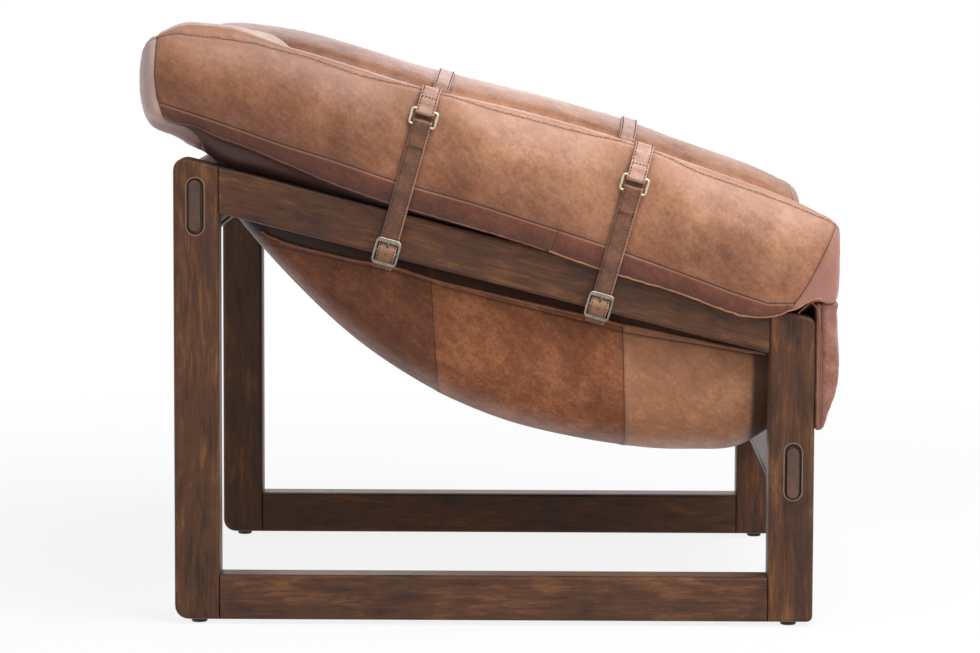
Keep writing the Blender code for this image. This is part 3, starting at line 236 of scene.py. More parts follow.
def wood_material(name, tones):
    """Walnut along its grain attribute: streaks, pores, smudges, painted shade and highlight round the recesses."""
    dark, middle, pale = (srgb(*tone) for tone in tones)
    material, tree = new_material(name)
    grain = attribute(tree, "grain", "Vector")

    def figure(scale, detail, rough=0.6, distortion=0.0):
        stretched = wire(tree, "ShaderNodeMapping", {"Vector": grain, "Scale": scale}).outputs[0]
        return noise_of(tree, stretched, 1.0, detail, rough, distortion)

    broad = figure((6.0, 34, 34), 4.0, 0.6, 1.6)
    streaks = figure((20, 190, 190), 5.0, 0.7, 0.9)
    pores = figure((45, 1300, 1300), 2.0)
    clouds = figure((8, 11, 11), 4.0, 0.65, 0.8)
    mixed = weighed(tree, (broad, 0.34), (streaks, 0.36), (clouds, 0.3))
    colour = blended(tree, ranged(tree, mixed, 0.36, 0.5), dark, middle)
    colour = blended(tree, ranged(tree, mixed, 0.49, 0.62), colour, pale)
    pore_mask = ranged(tree, pores, 0.55, 0.68)
    colour = blended(tree, times(tree, pore_mask, 0.45), colour, srgb(34, 23, 18))
    smudges = ranged(tree, figure((5.0, 16, 16), 3.0, 0.55, 1.2), 0.54, 0.7, kind="LINEAR")
    colour = blended(tree, times(tree, smudges, 0.5), colour, srgb(40, 27, 24))
    away = recess_distance(tree, object_place(tree))
    # Painted shade on the recesses' walls, and a painted highlight on the rims round them.
    wall = ranged(tree, away, -0.0036, -0.0016)
    inside = times(tree, wall, ranged(tree, away, -0.0004, 0.0003, 1.0, 0.0))
    rim_highlight_rise = ranged(tree, away, -0.0001, 0.0004)
    rim = times(tree, rim_highlight_rise, ranged(tree, away, 0.0009, 0.002, 1.0, 0.0))
    colour = blended(tree, times(tree, inside, 0.75), colour, srgb(26, 18, 14))
    colour = blended(tree, times(tree, rim, 0.45), colour, srgb(168, 142, 124))
    end_grain = ranged(tree, away, -0.004, -0.0034, 0.6, 0.0)
    colour = blended(tree, end_grain, colour, srgb(82, 68, 62))
    height = calc(tree, "SUBTRACT", times(tree, streaks, 0.5), pore_mask)
    surfaced(tree, {"Base Color": colour, "Roughness": ranged(tree, mixed, 0.35, 0.65, 0.36, 0.5, "LINEAR"),
                    "Normal": bumped(tree, height, 0.0003, 0.5), "Specular IOR Level": 0.28})
    return material


rail_wood = wood_material("oiled_walnut_rails", ((43, 26, 16), (80, 49, 31), (118, 76, 45)))
leg_wood = wood_material("oiled_walnut_legs", ((42, 25, 15), (81, 49, 29), (122, 79, 46)))
grain_shift = (0.37, 0.11, 0.07)
wood_starts = ("back_leg", "front_leg", "arm_rail", "bottom_rail", "back_cross", "front_cross", "loose_tenon")
for count, (name, piece) in enumerate(sorted(nodes.items())):
    if not name.startswith(wood_starts):
        continue
    places = np.array([vert.co for vert in piece.data.vertices])
    x, y, z = places[:, 0], places[:, 1], places[:, 2]
    if "leg" in name:
        grain = np.stack([z, x, y], 1)
    elif "cross" in name:
        grain = np.stack([x, y, z], 1)
    elif name.startswith("arm_rail"):
        grain = np.stack([y * math.cos(rail_lean) + z * math.sin(rail_lean), x,
                          z * math.cos(rail_lean) - y * math.sin(rail_lean)], 1)
    else:
        grain = np.stack([y, x, z], 1)
    grain = grain + [count * shift for shift in grain_shift]
    layer = piece.data.attributes.new("grain", "FLOAT_VECTOR", "POINT")
    layer.data.foreach_set("vector", grain.astype(np.float32).ravel())
    covered(piece, leg_wood if "leg" in name or "cross" in name else rail_wood, smooth=False)

# Glides: black plastic buttons under the ends of the bottom rails, which keep the wood off the floor. Each is
# moulded in one with its stem, and the stem is pushed into a hole in the rail.
glide_material, tree = new_material("black_plastic")
speck = noise_of(tree, object_place(tree), 900.0, 2.0)
surfaced(tree, {"Base Color": (0.012, 0.012, 0.012, 1), "Normal": bumped(tree, speck, 0.0001, 0.4),
                "Roughness": ranged(tree, speck, 0.3, 0.7, 0.4, 0.6)})
for name in nodes:
    if name.startswith("glide"):
        covered(nodes[name], glide_material, smooth=False)

# Leather, used for every soft piece: thick, waxed and worn, so that it clouds from dark to pale brown.
# A piece of it gets its own three tones, the seams that cross it and the panels cut from other hides,
# as well as panels of painted highlight and painted shade.


def leather_surface():
    """Colour, roughness and height of worn waxed leather, from its three tones."""
    tree = bpy.data.node_groups.new("leather_surface", "ShaderNodeTree")
    for name in ("Pale", "Middle", "Dark"):
        tree.interface.new_socket(name, in_out="INPUT", socket_type="NodeSocketColor")
    tree.interface.new_socket("Color", in_out="OUTPUT", socket_type="NodeSocketColor")
    for name in ("Roughness", "Height"):
        tree.interface.new_socket(name, in_out="OUTPUT", socket_type="NodeSocketFloat")
    given = tree.nodes.new("NodeGroupInput")
    spot = object_place(tree)

    def pattern(scale, detail, distortion=0.0, vector=spot, rough=0.6):
        return noise_of(tree, vector, scale, detail, rough, distortion)

    def brushed(angle, long, wide, scale):
        turned = wire(tree, "ShaderNodeMapping", {"Vector": spot, "Rotation": (math.radians(angle), 0, 0)}).outputs[0]
        drawn = wire(tree, "ShaderNodeMapping", {"Vector": turned, "Scale": (wide, long, wide)}).outputs[0]
        return pattern(scale, 4.0, 0.4, vector=drawn, rough=0.65)

    clouds = pattern(4.0, 3.0, 0.5, rough=0.55)
    mottle = pattern(15.0, 3.0, 0.5, rough=0.5)
    strokes = brushed(-48, 0.3, 1.0, 120.0)
    flecks = pattern(240.0, 4.0, 0.2, rough=0.7)
    patches = pattern(48.0, 3.0, 0.6, rough=0.6)
    tone = weighed(tree, (clouds, 0.28), (mottle, 0.2), (patches, 0.14), (strokes, 0.17), (flecks, 0.21))
    low = ranged(tree, tone, 0.41, 0.5, kind="LINEAR")
    colour = blended(tree, low, given.outputs["Dark"], given.outputs["Middle"])
    colour = blended(tree, ranged(tree, tone, 0.5, 0.58, kind="LINEAR"), colour, given.outputs["Pale"])
    creases = pattern(26.0, 4.0, 1.2, vector=wire(tree, "ShaderNodeMapping", {
        "Vector": spot, "Rotation": (0.6, 0.1, 0), "Scale": (1, 0.3, 1.5)}).outputs[0])
    line = calc(tree, "ABSOLUTE", calc(tree, "SUBTRACT", creases, 0.5))
    line = ranged(tree, line, 0.0, 0.014, 1.0, 0.0)
    line = times(tree, line, ranged(tree, pattern(9.0, 2.0), 0.54, 0.68))
    colour = blended(tree, times(tree, line, 0.22), colour, given.outputs["Pale"])
    pebbles = wire(tree, "ShaderNodeTexVoronoi", {"Vector": spot, "Scale": 620.0, "Randomness": 1.0},
                   feature="SMOOTH_F1").outputs["Distance"]
    height = weighed(tree, (pebbles, 0.5), (strokes, 0.9), (line, -0.35))
    rough = ranged(tree, tone, 0.4, 0.6, 0.5, 0.38, "LINEAR")
    wire(tree, "NodeGroupOutput", {"Color": colour, "Roughness": rough, "Height": height})
    return tree


def seam_mark():
    """A dark sewn line where a distance is zero, a band of painted shade beside it, and the groove's height."""
    tree = bpy.data.node_groups.new("seam_mark", "ShaderNodeTree")
    tree.interface.new_socket("Distance", in_out="INPUT", socket_type="NodeSocketFloat")
    for name in ("Line", "Shade", "Height"):
        tree.interface.new_socket(name, in_out="OUTPUT", socket_type="NodeSocketFloat")
    given = tree.nodes.new("NodeGroupInput")
    away = calc(tree, "ABSOLUTE", given.outputs["Distance"])
    line = ranged(tree, away, 0.0002, 0.001, 1.0, 0.0)
    shade = ranged(tree, away, 0.0, 0.006, 1.0, 0.0)
    height = ranged(tree, away, 0.0, 0.003, -1.0, 0.0)
    wire(tree, "NodeGroupOutput", {"Line": line, "Shade": shade, "Height": height})
    return tree


leather_group = leather_surface()
seam_group = seam_mark()


def leather(name, tones, seams=(), panels=(), gloss=0.42, sheen=0.12):
    """A leather: pale, middle and dark tone, its seams' attributes, and panels: other hides, painted light and shade.

    A panel is where an attribute lies between two values, with how softly it ends, its tint and the tint's amount.
    """
    pale, middle, dark = (srgb(*tone) for tone in tones)
    material, tree = new_material(name)
    surface = wire(tree, "ShaderNodeGroup", {"Pale": pale, "Middle": middle, "Dark": dark}, node_tree=leather_group)
    colour = surface.outputs["Color"]
    height = times(tree, surface.outputs["Height"], 0.12)
    for panel, low, high, soft, tint, amount, blend in panels:
        distance = attribute(tree, panel)
        inside = times(tree, ranged(tree, distance, low - soft, low + soft),
                        ranged(tree, distance, high - soft, high + soft, 1.0, 0.0))
        colour = blended(tree, times(tree, inside, amount), colour, srgb(*tint), blend)
    for seam in seams:
        mark = wire(tree, "ShaderNodeGroup", {"Distance": attribute(tree, seam)}, node_tree=seam_group)
        # Painted shade in a band beside the seam, then its dark sewn line.
        colour = blended(tree, times(tree, mark.outputs["Shade"], 0.25), colour, dark)
        colour = blended(tree, times(tree, mark.outputs["Line"], 0.8), colour, srgb(40, 24, 22))
        height = calc(tree, "ADD", height, mark.outputs["Height"])
    surfaced(tree, {"Base Color": colour, "Roughness": surface.outputs["Roughness"], "Specular IOR Level": gloss,
                    "Normal": bumped(tree, height, 0.0008, 0.45), "Sheen Weight": sheen, "Sheen Roughness": 0.3,
                    "Sheen Tint": (0.78, 0.76, 1, 1)})
    return material


# The arm cushions: boxed leather rolls stuffed with foam, laid over the arm rails and held by the straps.
# Each is sewn from an outer panel, a boxing strip with a turned lip below it, a top panel that falls
# away to the inside, and end panels; dark thread shows along every seam. The strip's darker tone is painted shade.
chair_shift = -0.007
arm_seat_side = 0.281
arm_outer_side = 0.411
arm_top_line = [(-0.419, 0.505), (-0.372, 0.530), (-0.323, 0.548), (-0.251, 0.572), (-0.176, 0.6005),
                (-0.113, 0.6187), (0.004, 0.6488), (0.092, 0.6688), (0.168, 0.6906), (0.230, 0.712),
                (0.293, 0.727), (0.356, 0.7347), (0.390, 0.737), (0.419, 0.729)]
arm_low_seam_line = [(-0.440, 0.4215), (-0.393, 0.409), (-0.369, 0.405), (-0.336, 0.405), (-0.290, 0.420),
                     (-0.225, 0.444), (-0.136, 0.476), (-0.044, 0.505), (0.022, 0.526), (0.123, 0.554),
                     (0.203, 0.581), (0.261, 0.5985), (0.340, 0.626), (0.414, 0.650), (0.450, 0.662)]
arm_lip_line = [(-0.404, 0.4085), (-0.393, 0.409), (-0.383, 0.404), (-0.369, 0.392), (-0.352, 0.382),
                (-0.324, 0.379), (-0.289, 0.389), (-0.225, 0.415), (-0.152, 0.435), (-0.044, 0.473),
                (0.040, 0.497), (0.130, 0.522), (0.203, 0.547), (0.245, 0.566), (0.292, 0.587), (0.340, 0.603),
                (0.395, 0.618)]
arm_front_seam_line = [(-0.352, 0.372), (-0.369, 0.404), (-0.381, 0.421), (-0.394, 0.445), (-0.410, 0.478),
                       (-0.4205, 0.503), (-0.424, 0.520)]
arm_back_seam_line = [(0.416, 0.760), (0.4145, 0.726), (0.417, 0.683), (0.414, 0.655), (0.407, 0.631),
                      (0.396, 0.618), (0.379, 0.603), (0.365, 0.592), (0.340, 0.575)]
arm_strip_joints = [[(-0.0774, 0.4919), (-0.0675, 0.4634)], [(-0.3596, 0.399), (-0.3563, 0.380)]]
strap_planes = {"rear": (0.133, 0.4659), "front": (-0.129, 0.4001)}
strap_lean = math.radians(15.6)


def side_view(places):
    """How far points reach out on the right side, and their Y and Z as the lines of the side view have them."""
    return -places[:, 0], places[:, 1] - chair_shift, places[:, 2]


def height_on(line, y):
    points = np.array(line)
    return np.interp(y, points[:, 0], points[:, 1])


def signed_distance(line, y, z):
    """How far points in Y and Z lie from a line, positive on its left as it runs."""
    best = np.full(len(y), 9.0)
    sign = np.ones(len(y))
    for (y0, z0), (y1, z1) in zip(line, line[1:]):
        run_y, run_z = y1 - y0, z1 - z0
        share = np.clip(((y - y0) * run_y + (z - z0) * run_z) / (run_y**2 + run_z**2), 0, 1)
        gap_y, gap_z = y - y0 - run_y * share, z - z0 - run_z * share
        gap = np.hypot(gap_y, gap_z)
        nearer = gap < best
        best = np.where(nearer, gap, best)
        sign = np.where(nearer, np.sign(run_y * gap_z - run_z * gap_y), sign)
    return best * sign


def smooth_step(value, low, high):
    share = np.clip((value - low) / (high - low), 0, 1)
    return share * share * (3 - 2 * share)


def merged(name):
    """A solid's loose triangles with their doubled corners merged."""
    bm = bmesh.new()
    bm.from_mesh(nodes[name].data)
    bmesh.ops.remove_doubles(bm, verts=bm.verts, dist=1e-5)
    return bm


def solid_copy(name, piece_name, crisp=None):
    """A copy of a solid, its loose triangles joined; crisp gives the sets of points that keep sharp edges."""
    bm = merged(name)
    bmesh.ops.join_triangles(bm, faces=bm.faces, angle_face_threshold=0.6, angle_shape_threshold=1.5)
    bmesh.ops.recalc_face_normals(bm, faces=bm.faces)
    if crisp:
        bm.verts.index_update()
        marks = crisp(np.array([vert.co for vert in bm.verts]))
        layer = bm.edges.layers.float.new("crease_edge")
        for edge in bm.edges:
            first, second = (vert.index for vert in edge.verts)
            edge[layer] = max([crease for crease, on in marks if on[first] and on[second]], default=0.0)
    return piece_of(bm, piece_name)


def piece_of(bm, name):
    mesh = bpy.data.meshes.new(name)
    bm.to_mesh(mesh)
    bm.free()
    return placed(name, mesh)


def settle(piece):
    """Apply every modifier of a piece to its mesh."""
    seen = piece.evaluated_get(bpy.context.evaluated_depsgraph_get())
    mesh = bpy.data.meshes.new_from_object(seen)
    piece.modifiers.clear()
    old = piece.data
    piece.data = mesh
    bpy.data.meshes.remove(old)


def modified(piece, name, kind, **settings):
    """Add a modifier to a piece, with its settings."""
    made = piece.modifiers.new(name, kind)
    for setting, value in settings.items():
        setattr(made, setting, value)
    return made


def points_of(piece, kind="co"):
    """The places of a piece's points, or their normals."""
    values = np.empty(len(piece.data.vertices) * 3)
    piece.data.vertices.foreach_get(kind, values)
    return values.reshape(-1, 3)


def move_points(piece, places):
    piece.data.vertices.foreach_set("co", places.ravel())
    piece.data.update()


def relaxed(piece, loose, rounds):
    """Smooth the points of a piece that a mask leaves free."""
    bm = bmesh.new()
    bm.from_mesh(piece.data)
    free = [vert for vert, on in zip(bm.verts, loose) if on]
    for _ in range(rounds):
        bmesh.ops.smooth_vert(bm, verts=free, factor=0.5, use_axis_x=True, use_axis_y=True, use_axis_z=True)
    bm.to_mesh(piece.data)
    bm.free()


def even_mesh(piece, voxel, kind="CATMULL_CLARK", rounds=2):
    """Round the facets of a solid's copy and give it an even mesh."""
    modified(piece, "rounded", "SUBSURF", subdivision_type=kind, levels=2, render_levels=2)
    modified(piece, "even", "REMESH", mode="VOXEL", voxel_size=voxel)
    settle(piece)
    relaxed(piece, np.ones(len(piece.data.vertices), bool), rounds)


def stuffed(piece, held, cap, pressure=4.0, frames=20, bending=8.0):
    """Blow a closed mesh up as cloth that is held at its seams; no point moves further than its cap."""
    start = points_of(piece)
    group = piece.vertex_groups.new(name="held")
    levels = np.round(np.clip(held, 0, 1) * 10).astype(int)
    for level in range(1, 11):
        group.add([int(index) for index in np.nonzero(levels == level)[0]], level / 10, "REPLACE")
    cloth = piece.modifiers.new("stuffing", "CLOTH")
    for setting, value in {"quality": 4, "mass": 0.4, "tension_stiffness": 30, "compression_stiffness": 30,
                           "bending_stiffness": bending, "vertex_group_mass": "held", "use_pressure": True,
                           "uniform_pressure_force": pressure}.items():
        setattr(cloth.settings, setting, value)
    cloth.settings.effector_weights.gravity = 0
    cloth.point_cache.frame_start = 1
    cloth.point_cache.frame_end = frames
    for number in range(1, frames + 1):
        scene.frame_set(number)
    seen = piece.evaluated_get(bpy.context.evaluated_depsgraph_get())
    blown = np.empty(len(start) * 3)
    seen.data.vertices.foreach_get("co", blown)
    piece.modifiers.clear()
    piece.vertex_groups.clear()
    scene.frame_set(1)
    moved = blown.reshape(-1, 3) - start
    length = np.linalg.norm(moved, axis=1)
    allowed = np.minimum(length, cap) / np.maximum(length, 1e-9)
    move_points(piece, start + moved * allowed[:, None])
    relaxed(piece, held < 0.4, 4)
    modified(piece, "finer", "SUBSURF", levels=1, render_levels=1)
    settle(piece)


def from_strap(y, z):
    """How far points lie from the nearest strap's plane."""
    gaps = [np.abs((y - place_y) * math.cos(strap_lean) + (z - place_z) * math.sin(strap_lean))
            for place_y, place_z in strap_planes.values()]
    return np.minimum(*gaps)


def outer_side(x):
    """1 on an arm's outer side and 0 within it."""
    return smooth_step(x, 0.385, 0.4)


def arm_seams(places):
    """Signed distances of points on a right arm cushion from its seams and from its strip's lip."""
    x, y, z = side_view(places)
    on_outside = outer_side(x)
    in_from_face = arm_outer_side - 0.004 - x
    outer_top = (z - height_on(arm_top_line, y)) + in_from_face
    outer_top = np.where(in_from_face > 0.02, np.maximum(outer_top, 0.02), outer_top)
    front = -signed_distance(arm_front_seam_line, y, z) * on_outside + (y + 0.4145) * (1 - on_outside)
    inner_back = np.where(z < 0.655, 0.363, 0.416) - y
    back = -signed_distance(arm_back_seam_line, y, z) * on_outside + inner_back * (1 - on_outside)
    on_end = (front < 0) | (back < 0)
    low = signed_distance(arm_low_seam_line, y, z)
    low = np.where((x > 0.392) & ~on_end, low, np.where(z > height_on(arm_low_seam_line, y) + 0.02, 0.04, -0.04))
    low = np.where(on_end, 0.04, low)
    lip = signed_distance(arm_lip_line, y, z)
    lip = np.where(x > 0.397, lip, np.where(z > height_on(arm_lip_line, y) + 0.012, 0.04, -0.04))
    lip = np.where(on_end, 0.04, lip)
    joints = [signed_distance(line, y, z) for line in arm_strip_joints]
    joint = np.where(np.abs(joints[0]) < np.abs(joints[1]), joints[0], joints[1])
    joint = np.where((low < 0.001) & (lip > -0.001) & (x > 0.392), joint, 0.04)
    # Where the painted shade under the arm's tail lies.
    tail_underside_shade = np.where(back < 0.0005, 0.622 - z, -0.05)
    # Where the painted shadow beside each strap lies.
    strap_shadow_band = from_strap(y, z) - 0.0115
    return {"outer_top": outer_top, "low": low, "lip": lip, "front": front, "back": back, "joint": joint,
            "tail_underside_shade": tail_underside_shade, "strap_shadow_band": strap_shadow_band}


def arm_creases(places):
    """The points of the solid along which the cushion's leather is sewn to an edge."""
    seams = arm_seams(places)
    _, y, z = side_view(places)
    front_rim = (y < -0.4) & (z < 0.4085)
    front_ring = np.abs(y + 0.419) < 0.002
    return [(0.75, np.abs(seams["outer_top"]) < 0.005), (0.3, np.abs(seams["low"]) < 0.006),
            (0.85, np.abs(seams["lip"]) < 0.006), (0.9, front_rim), (0.6, front_ring)]


def sewn(piece, seams, drawn, depth=0.0014, width=0.0032, pucker=0.0006):
    """Draw the surface in along its seams, with small puckers beside them, and keep the distances."""
    places = points_of(piece)
    normals = points_of(piece, "normal")
    total = np.zeros(len(places))
    ripple = np.array([noise.noise(Vector(place) * 95) for place in places])
    for name in drawn:
        away = np.abs(seams[name])
        total -= depth * np.exp(-((away / width) ** 2))
        total += pucker * ripple * np.exp(-((away - 0.008) / 0.009) ** 2)
    move_points(piece, places + normals * total[:, None])
    for name, distance in {**seams, "along": places[:, 1] - chair_shift}.items():
        layer = piece.data.attributes.new(name, "FLOAT", "POINT")
        layer.data.foreach_set("value", distance.astype(np.float32))


def arm_shape():
    """The right arm's cushion: leaned and hollowed as it lies on its rail, then stuffed between its seams."""
    front_flare, top_lean, face_hollow, rim_drop, tail_lift = 0.3, 0.011, 0.013, 0.006, 0.007
    piece = solid_copy("arm_cushion_right", "arm_cushion_right_leather", arm_creases)
    even_mesh(piece, 0.0054, rounds=1)
    places = points_of(piece)
    seams = arm_seams(places)
    x, y, z = side_view(places)
    ahead = np.clip(-seams["front"], 0, 0.06) * smooth_step(x, 0.37, 0.4) * smooth_step(z, 0.4, 0.415)
    places[:, 0] += front_flare * ahead
    low_height, top_height = height_on(arm_low_seam_line, y), height_on(arm_top_line, y)
    up_panel = np.clip((z - low_height) / (top_height - low_height), 0, 1)
    on_outside, off_straps = outer_side(x), smooth_step(from_strap(y, z), 0.012, 0.09)
    full = np.sin(math.pi * up_panel) ** 0.8 * on_outside * off_straps
    clear = smooth_step(seams["front"], 0.0, 0.05) * smooth_step(seams["back"], 0.0, 0.05)
    leaning = smooth_step(up_panel, 0.45, 1.0) * on_outside * off_straps
    places[:, 0] += (top_lean * leaning - face_hollow * full) * clear
    low_rim = smooth_step(0.425 - z, 0.0, 0.014) * smooth_step(-y, 0.395, 0.412)
    places[:, 2] -= rim_drop * low_rim
    hollow = smooth_step(y, 0.335, 0.372) * (1 - smooth_step(y, 0.383, 0.412))
    places[:, 2] += tail_lift * hollow * smooth_step(0.63 - z, 0.0, 0.022)
    move_points(piece, places)
    seams = arm_seams(places)
    near_seam = np.min([np.abs(seams[name]) for name in ("outer_top", "low", "lip", "front", "back")], axis=0)
    near_strap = from_strap(y, z)
    below = np.where((seams["lip"] < 0.0) & (x < 0.42), 1.0, 0.0)
    end_rim = np.where((y < -0.4) & (z < 0.425), 1.0, 0.0)
    held = np.maximum(1 - smooth_step(near_seam, 0.002, 0.012), 1 - smooth_step(near_strap, 0.009, 0.02))
    held = np.maximum(held, np.maximum(below, end_rim))
    on_panel = smooth_step(x, 0.395, 0.405)
    cap = (0.0025 + 0.0035 * on_panel * smooth_step(y, -0.44, -0.36) * (1 - smooth_step(y, 0.38, 0.42)))
    cap = cap * smooth_step(near_strap, 0.011, 0.05) * (1 - below) * (1 - end_rim)
    low_inside = (x < 0.3) & ((y > 0.13) | (z < 0.44))
    stuffed(piece, held, np.where(low_inside, np.minimum(cap, 0.0012), cap))
    return piece


arm_right = arm_shape()
arm_left = placed("arm_cushion_left_leather", arm_right.data.copy())
crest_height = 0.0145
places = points_of(arm_right)
x, y, z = side_view(places)
across_top = np.clip((x - arm_seat_side - 0.005) / (arm_outer_side - 0.009 - arm_seat_side), 0, 1)
on_top = smooth_step(z - height_on(arm_top_line, y), -0.035, -0.018)
crest = smooth_step(y, 0.25, 0.33) * (1 - 0.75 * smooth_step(y, 0.375, 0.43))
places[:, 2] += crest_height * crest * np.sin(math.pi * across_top) ** 0.8 * on_top
move_points(arm_right, places)
arm_drawn = ("outer_top", "low", "front", "back", "joint")
sewn(arm_right, arm_seams(points_of(arm_right)), arm_drawn)
sewn(arm_left, arm_seams(points_of(arm_left)), arm_drawn)
arm_left.data.transform(Matrix.Scale(-1, 4, (1, 0, 0)))
arm_left.data.flip_normals()
# The hide that all the cushions are cut from, in its pale, middle and dark tone.
hide = ((174, 124, 93), (150, 101, 72), (118, 76, 53))
arm_leather = leather("arm_leather", hide, seams=arm_drawn,
                      # Painted highlight: a paler band along the outer panel's top seam.
                      panels=(("outer_top", -0.03, 0.05, 0.03, (186, 144, 122), 0.35, "MIX"),
                              # Painted shade: each arm darker towards its rear.
                              ("along", 0.16, 1, 0.14, (214, 205, 196), 0.8, "MULTIPLY"),
                              # Painted shade: the outer panel darker towards its lower seam.
                              ("low", 0, 0.03, 0.03, (240, 220, 204), 0.9, "MULTIPLY"),
                              # Painted shade: the boxing strip below the lower seam.
                              ("low", -1, 0, 0.0004, (162, 125, 112), 0.9, "MULTIPLY"),
                              # Painted highlight: a pale band along the boxing strip's top edge.
                              ("low", -0.003, -0.001, 0.0006, (190, 138, 104), 0.35, "MIX"),
                              # Painted shade: the boxing strip darker towards its lower edge.
                              ("low", -0.05, -0.02, 0.01, (196, 176, 176), 0.5, "MULTIPLY"),
                              # Painted reflection: the front end panel's mauve tint.
                              ("front", -1, 0, 0.0004, (160, 112, 104), 0.6, "MIX"),
                              # Painted reflection: the rear end panel's pale mauve tint.
                              ("back", -1, 0, 0.0004, (190, 165, 158), 0.78, "MIX"),
                              # Painted shadow: a dark band beside each strap.
                              ("strap_shadow_band", -1, 0.002, 0.006, (150, 118, 104), 0.75, "MULTIPLY"),
                              # Painted shade: the underside of the arm's tail.
                              ("tail_underside_shade", 0, 1, 0.014, (186, 164, 166), 0.9, "MULTIPLY"),
                              # Painted shade: all the leather below the strip's lip.
                              ("lip", -1, -0.0015, 0.001, (66, 40, 32), 0.92, "MIX")))
for side, piece in (("right", arm_right), ("left", arm_left)):
    covered(piece, arm_leather)
    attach(piece, chair_body)
    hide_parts(f"arm_cushion_{side}")

# Thread and lips: waxed brown thread shows along every seam of the leather, one stitch at a time. The arm strips
# end in a turned lip, pale in front and dark behind, that is drawn as a cord.
thread, tree = new_material("waxed_thread")
twist = noise_of(tree, object_place(tree), 1500.0, 2.0)
surfaced(tree, {"Base Color": blended(tree, twist, srgb(34, 22, 24), srgb(72, 50, 48)),
                "Roughness": ranged(tree, twist, 0, 1, 0.5, 0.7), "Specular IOR Level": 0.3})


def surface_tree(piece):
    bm = bmesh.new()
    bm.from_mesh(piece.data)
    tree = BVHTree.FromBMesh(bm)
    bm.free()
    return tree


def along_line(line, spacing):
    """Points at an even spacing along a line in Y and Z."""
    points = np.array(line)
    lengths = np.concatenate([[0], np.cumsum(np.linalg.norm(np.diff(points, axis=0), axis=1))])
    stops = np.arange(0, lengths[-1], spacing)
    return list(zip(np.interp(stops, lengths, points[:, 0]), np.interp(stops, lengths, points[:, 1])))


def on_surface(tree, guesses):
    """Places on a surface and its directions there, nearest to the guessed ones."""
    found = [tree.find_nearest(Vector(guess)) for guess in guesses]
    return [(hit[0], hit[1]) for hit in found if hit[0] is not None]


def stitches(name, rows, length=0.0036, radius=0.0003, lift=0.0001):
    """Threads that show between their holes: each row is a list of places and directions, one for each end."""
    whole = bmesh.new()
    for row in rows:
        bm = bmesh.new()
        for (first, up), (second, _) in zip(row[0::2], row[1::2]):
            run = second - first
            if run.length < 1e-5 or run.length > 3 * length:
                continue
            run.normalize()
            side = up.cross(run).normalized()
            over = run.cross(side)
            turn = Matrix((run * length / 2, side * radius, over * radius)).transposed().to_4x4()
            place = Matrix.Translation((first + second) / 2 + up * lift)
            bmesh.ops.create_uvsphere(bm, u_segments=6, v_segments=5, radius=1, matrix=place @ turn)
        mesh = bpy.data.meshes.new(name)
        bm.to_mesh(mesh)
        bm.free()
        whole.from_mesh(mesh)
        bpy.data.meshes.remove(mesh)
    bmesh.ops.recalc_face_normals(whole, faces=whole.faces)
    piece = piece_of(whole, name)
    covered(piece, thread)
    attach(piece, chair_body)


def cord_along(name, routes, radius, material):
    """A round cord along each route of points, as one mesh."""
    curve = bpy.data.curves.new(name, "CURVE")
    curve.dimensions = "3D"
    curve.bevel_depth = radius
    curve.bevel_resolution = 2
    curve.use_fill_caps = True
    for route in routes:
        spline = curve.splines.new("POLY")
        spline.points.add(len(route) - 1)
        for point, place in zip(spline.points, route):
            point.co = (*place, 1)
    drawn = placed(name + "_route", curve)
    seen = drawn.evaluated_get(bpy.context.evaluated_depsgraph_get())
    mesh = bpy.data.meshes.new_from_object(seen)
    bpy.data.objects.remove(drawn)
    mesh.name = name
    piece = placed(name, mesh)
    covered(piece, material)
    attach(piece, chair_body)
    return piece


lip_leather = leather("lip_leather", ((186, 130, 92), (160, 104, 72), (128, 79, 52)))
dark_lip_leather = leather("dark_lip_leather", ((134, 92, 74), (112, 74, 60), (92, 58, 46)))
stitch_pitch = 0.0052
pale_lip_end = -0.065


def along_seam(piece, sign, name, line):
    """Places on an arm cushion where a seam's distance is zero, beside a line in Y and Z."""
    places = points_of(piece)
    away = np.abs(arm_seams(places * (-sign, 1, 1))[name])
    on_line = (away < 0.003) & (places[:, 0] * sign > 0.38)
    near, weight = places[on_line], 1 / (0.0005 + away[on_line])
    found = []
    for y, z in along_line(line, stitch_pitch / 2):
        gap = np.hypot(near[:, 1] - y - chair_shift, near[:, 2] - z)
        share = weight * np.exp(-((gap / 0.003) ** 2))
        if gap.min() < 0.012 and share.sum() > 1e-6:
            found.append((near * share[:, None]).sum(0) / share.sum())
    return found


for side, piece, sign in (("right", arm_right, -1), ("left", arm_left, 1)):
    skin = surface_tree(piece)
    rows = []
    for name, line in (("outer_top", arm_top_line), ("low", arm_low_seam_line[1:-1]),
                       ("front", arm_front_seam_line[1:-1]), ("back", arm_back_seam_line[1:-2])):
        rows.append(on_surface(skin, along_seam(piece, sign, name, line)))
    stitches(f"arm_stitching_{side}", rows)
    guesses = [(sign * (arm_outer_side - 0.003), y + chair_shift, z + 0.001)
               for y, z in along_line(arm_lip_line, 0.006)]
    route = [place for place, up in on_surface(skin, guesses)]
    pale = [place for place in route if place.y - chair_shift < pale_lip_end]
    cord_along(f"arm_lip_front_{side}", [pale], 0.0014, lip_leather)
    cord_along(f"arm_lip_rear_{side}", [route[len(pale):]], 0.001, dark_lip_leather)

# The seat and back cushions: loose boxed cushions of the same hide, stuffed with foam and sewn along both sides.
# They lie in the sling between the arms, which hide them from the side.
cushion_leather = leather("cushion_leather", hide, seams=("edge",))
cushion_side = 0.279
rear_edge_lift = 0.011


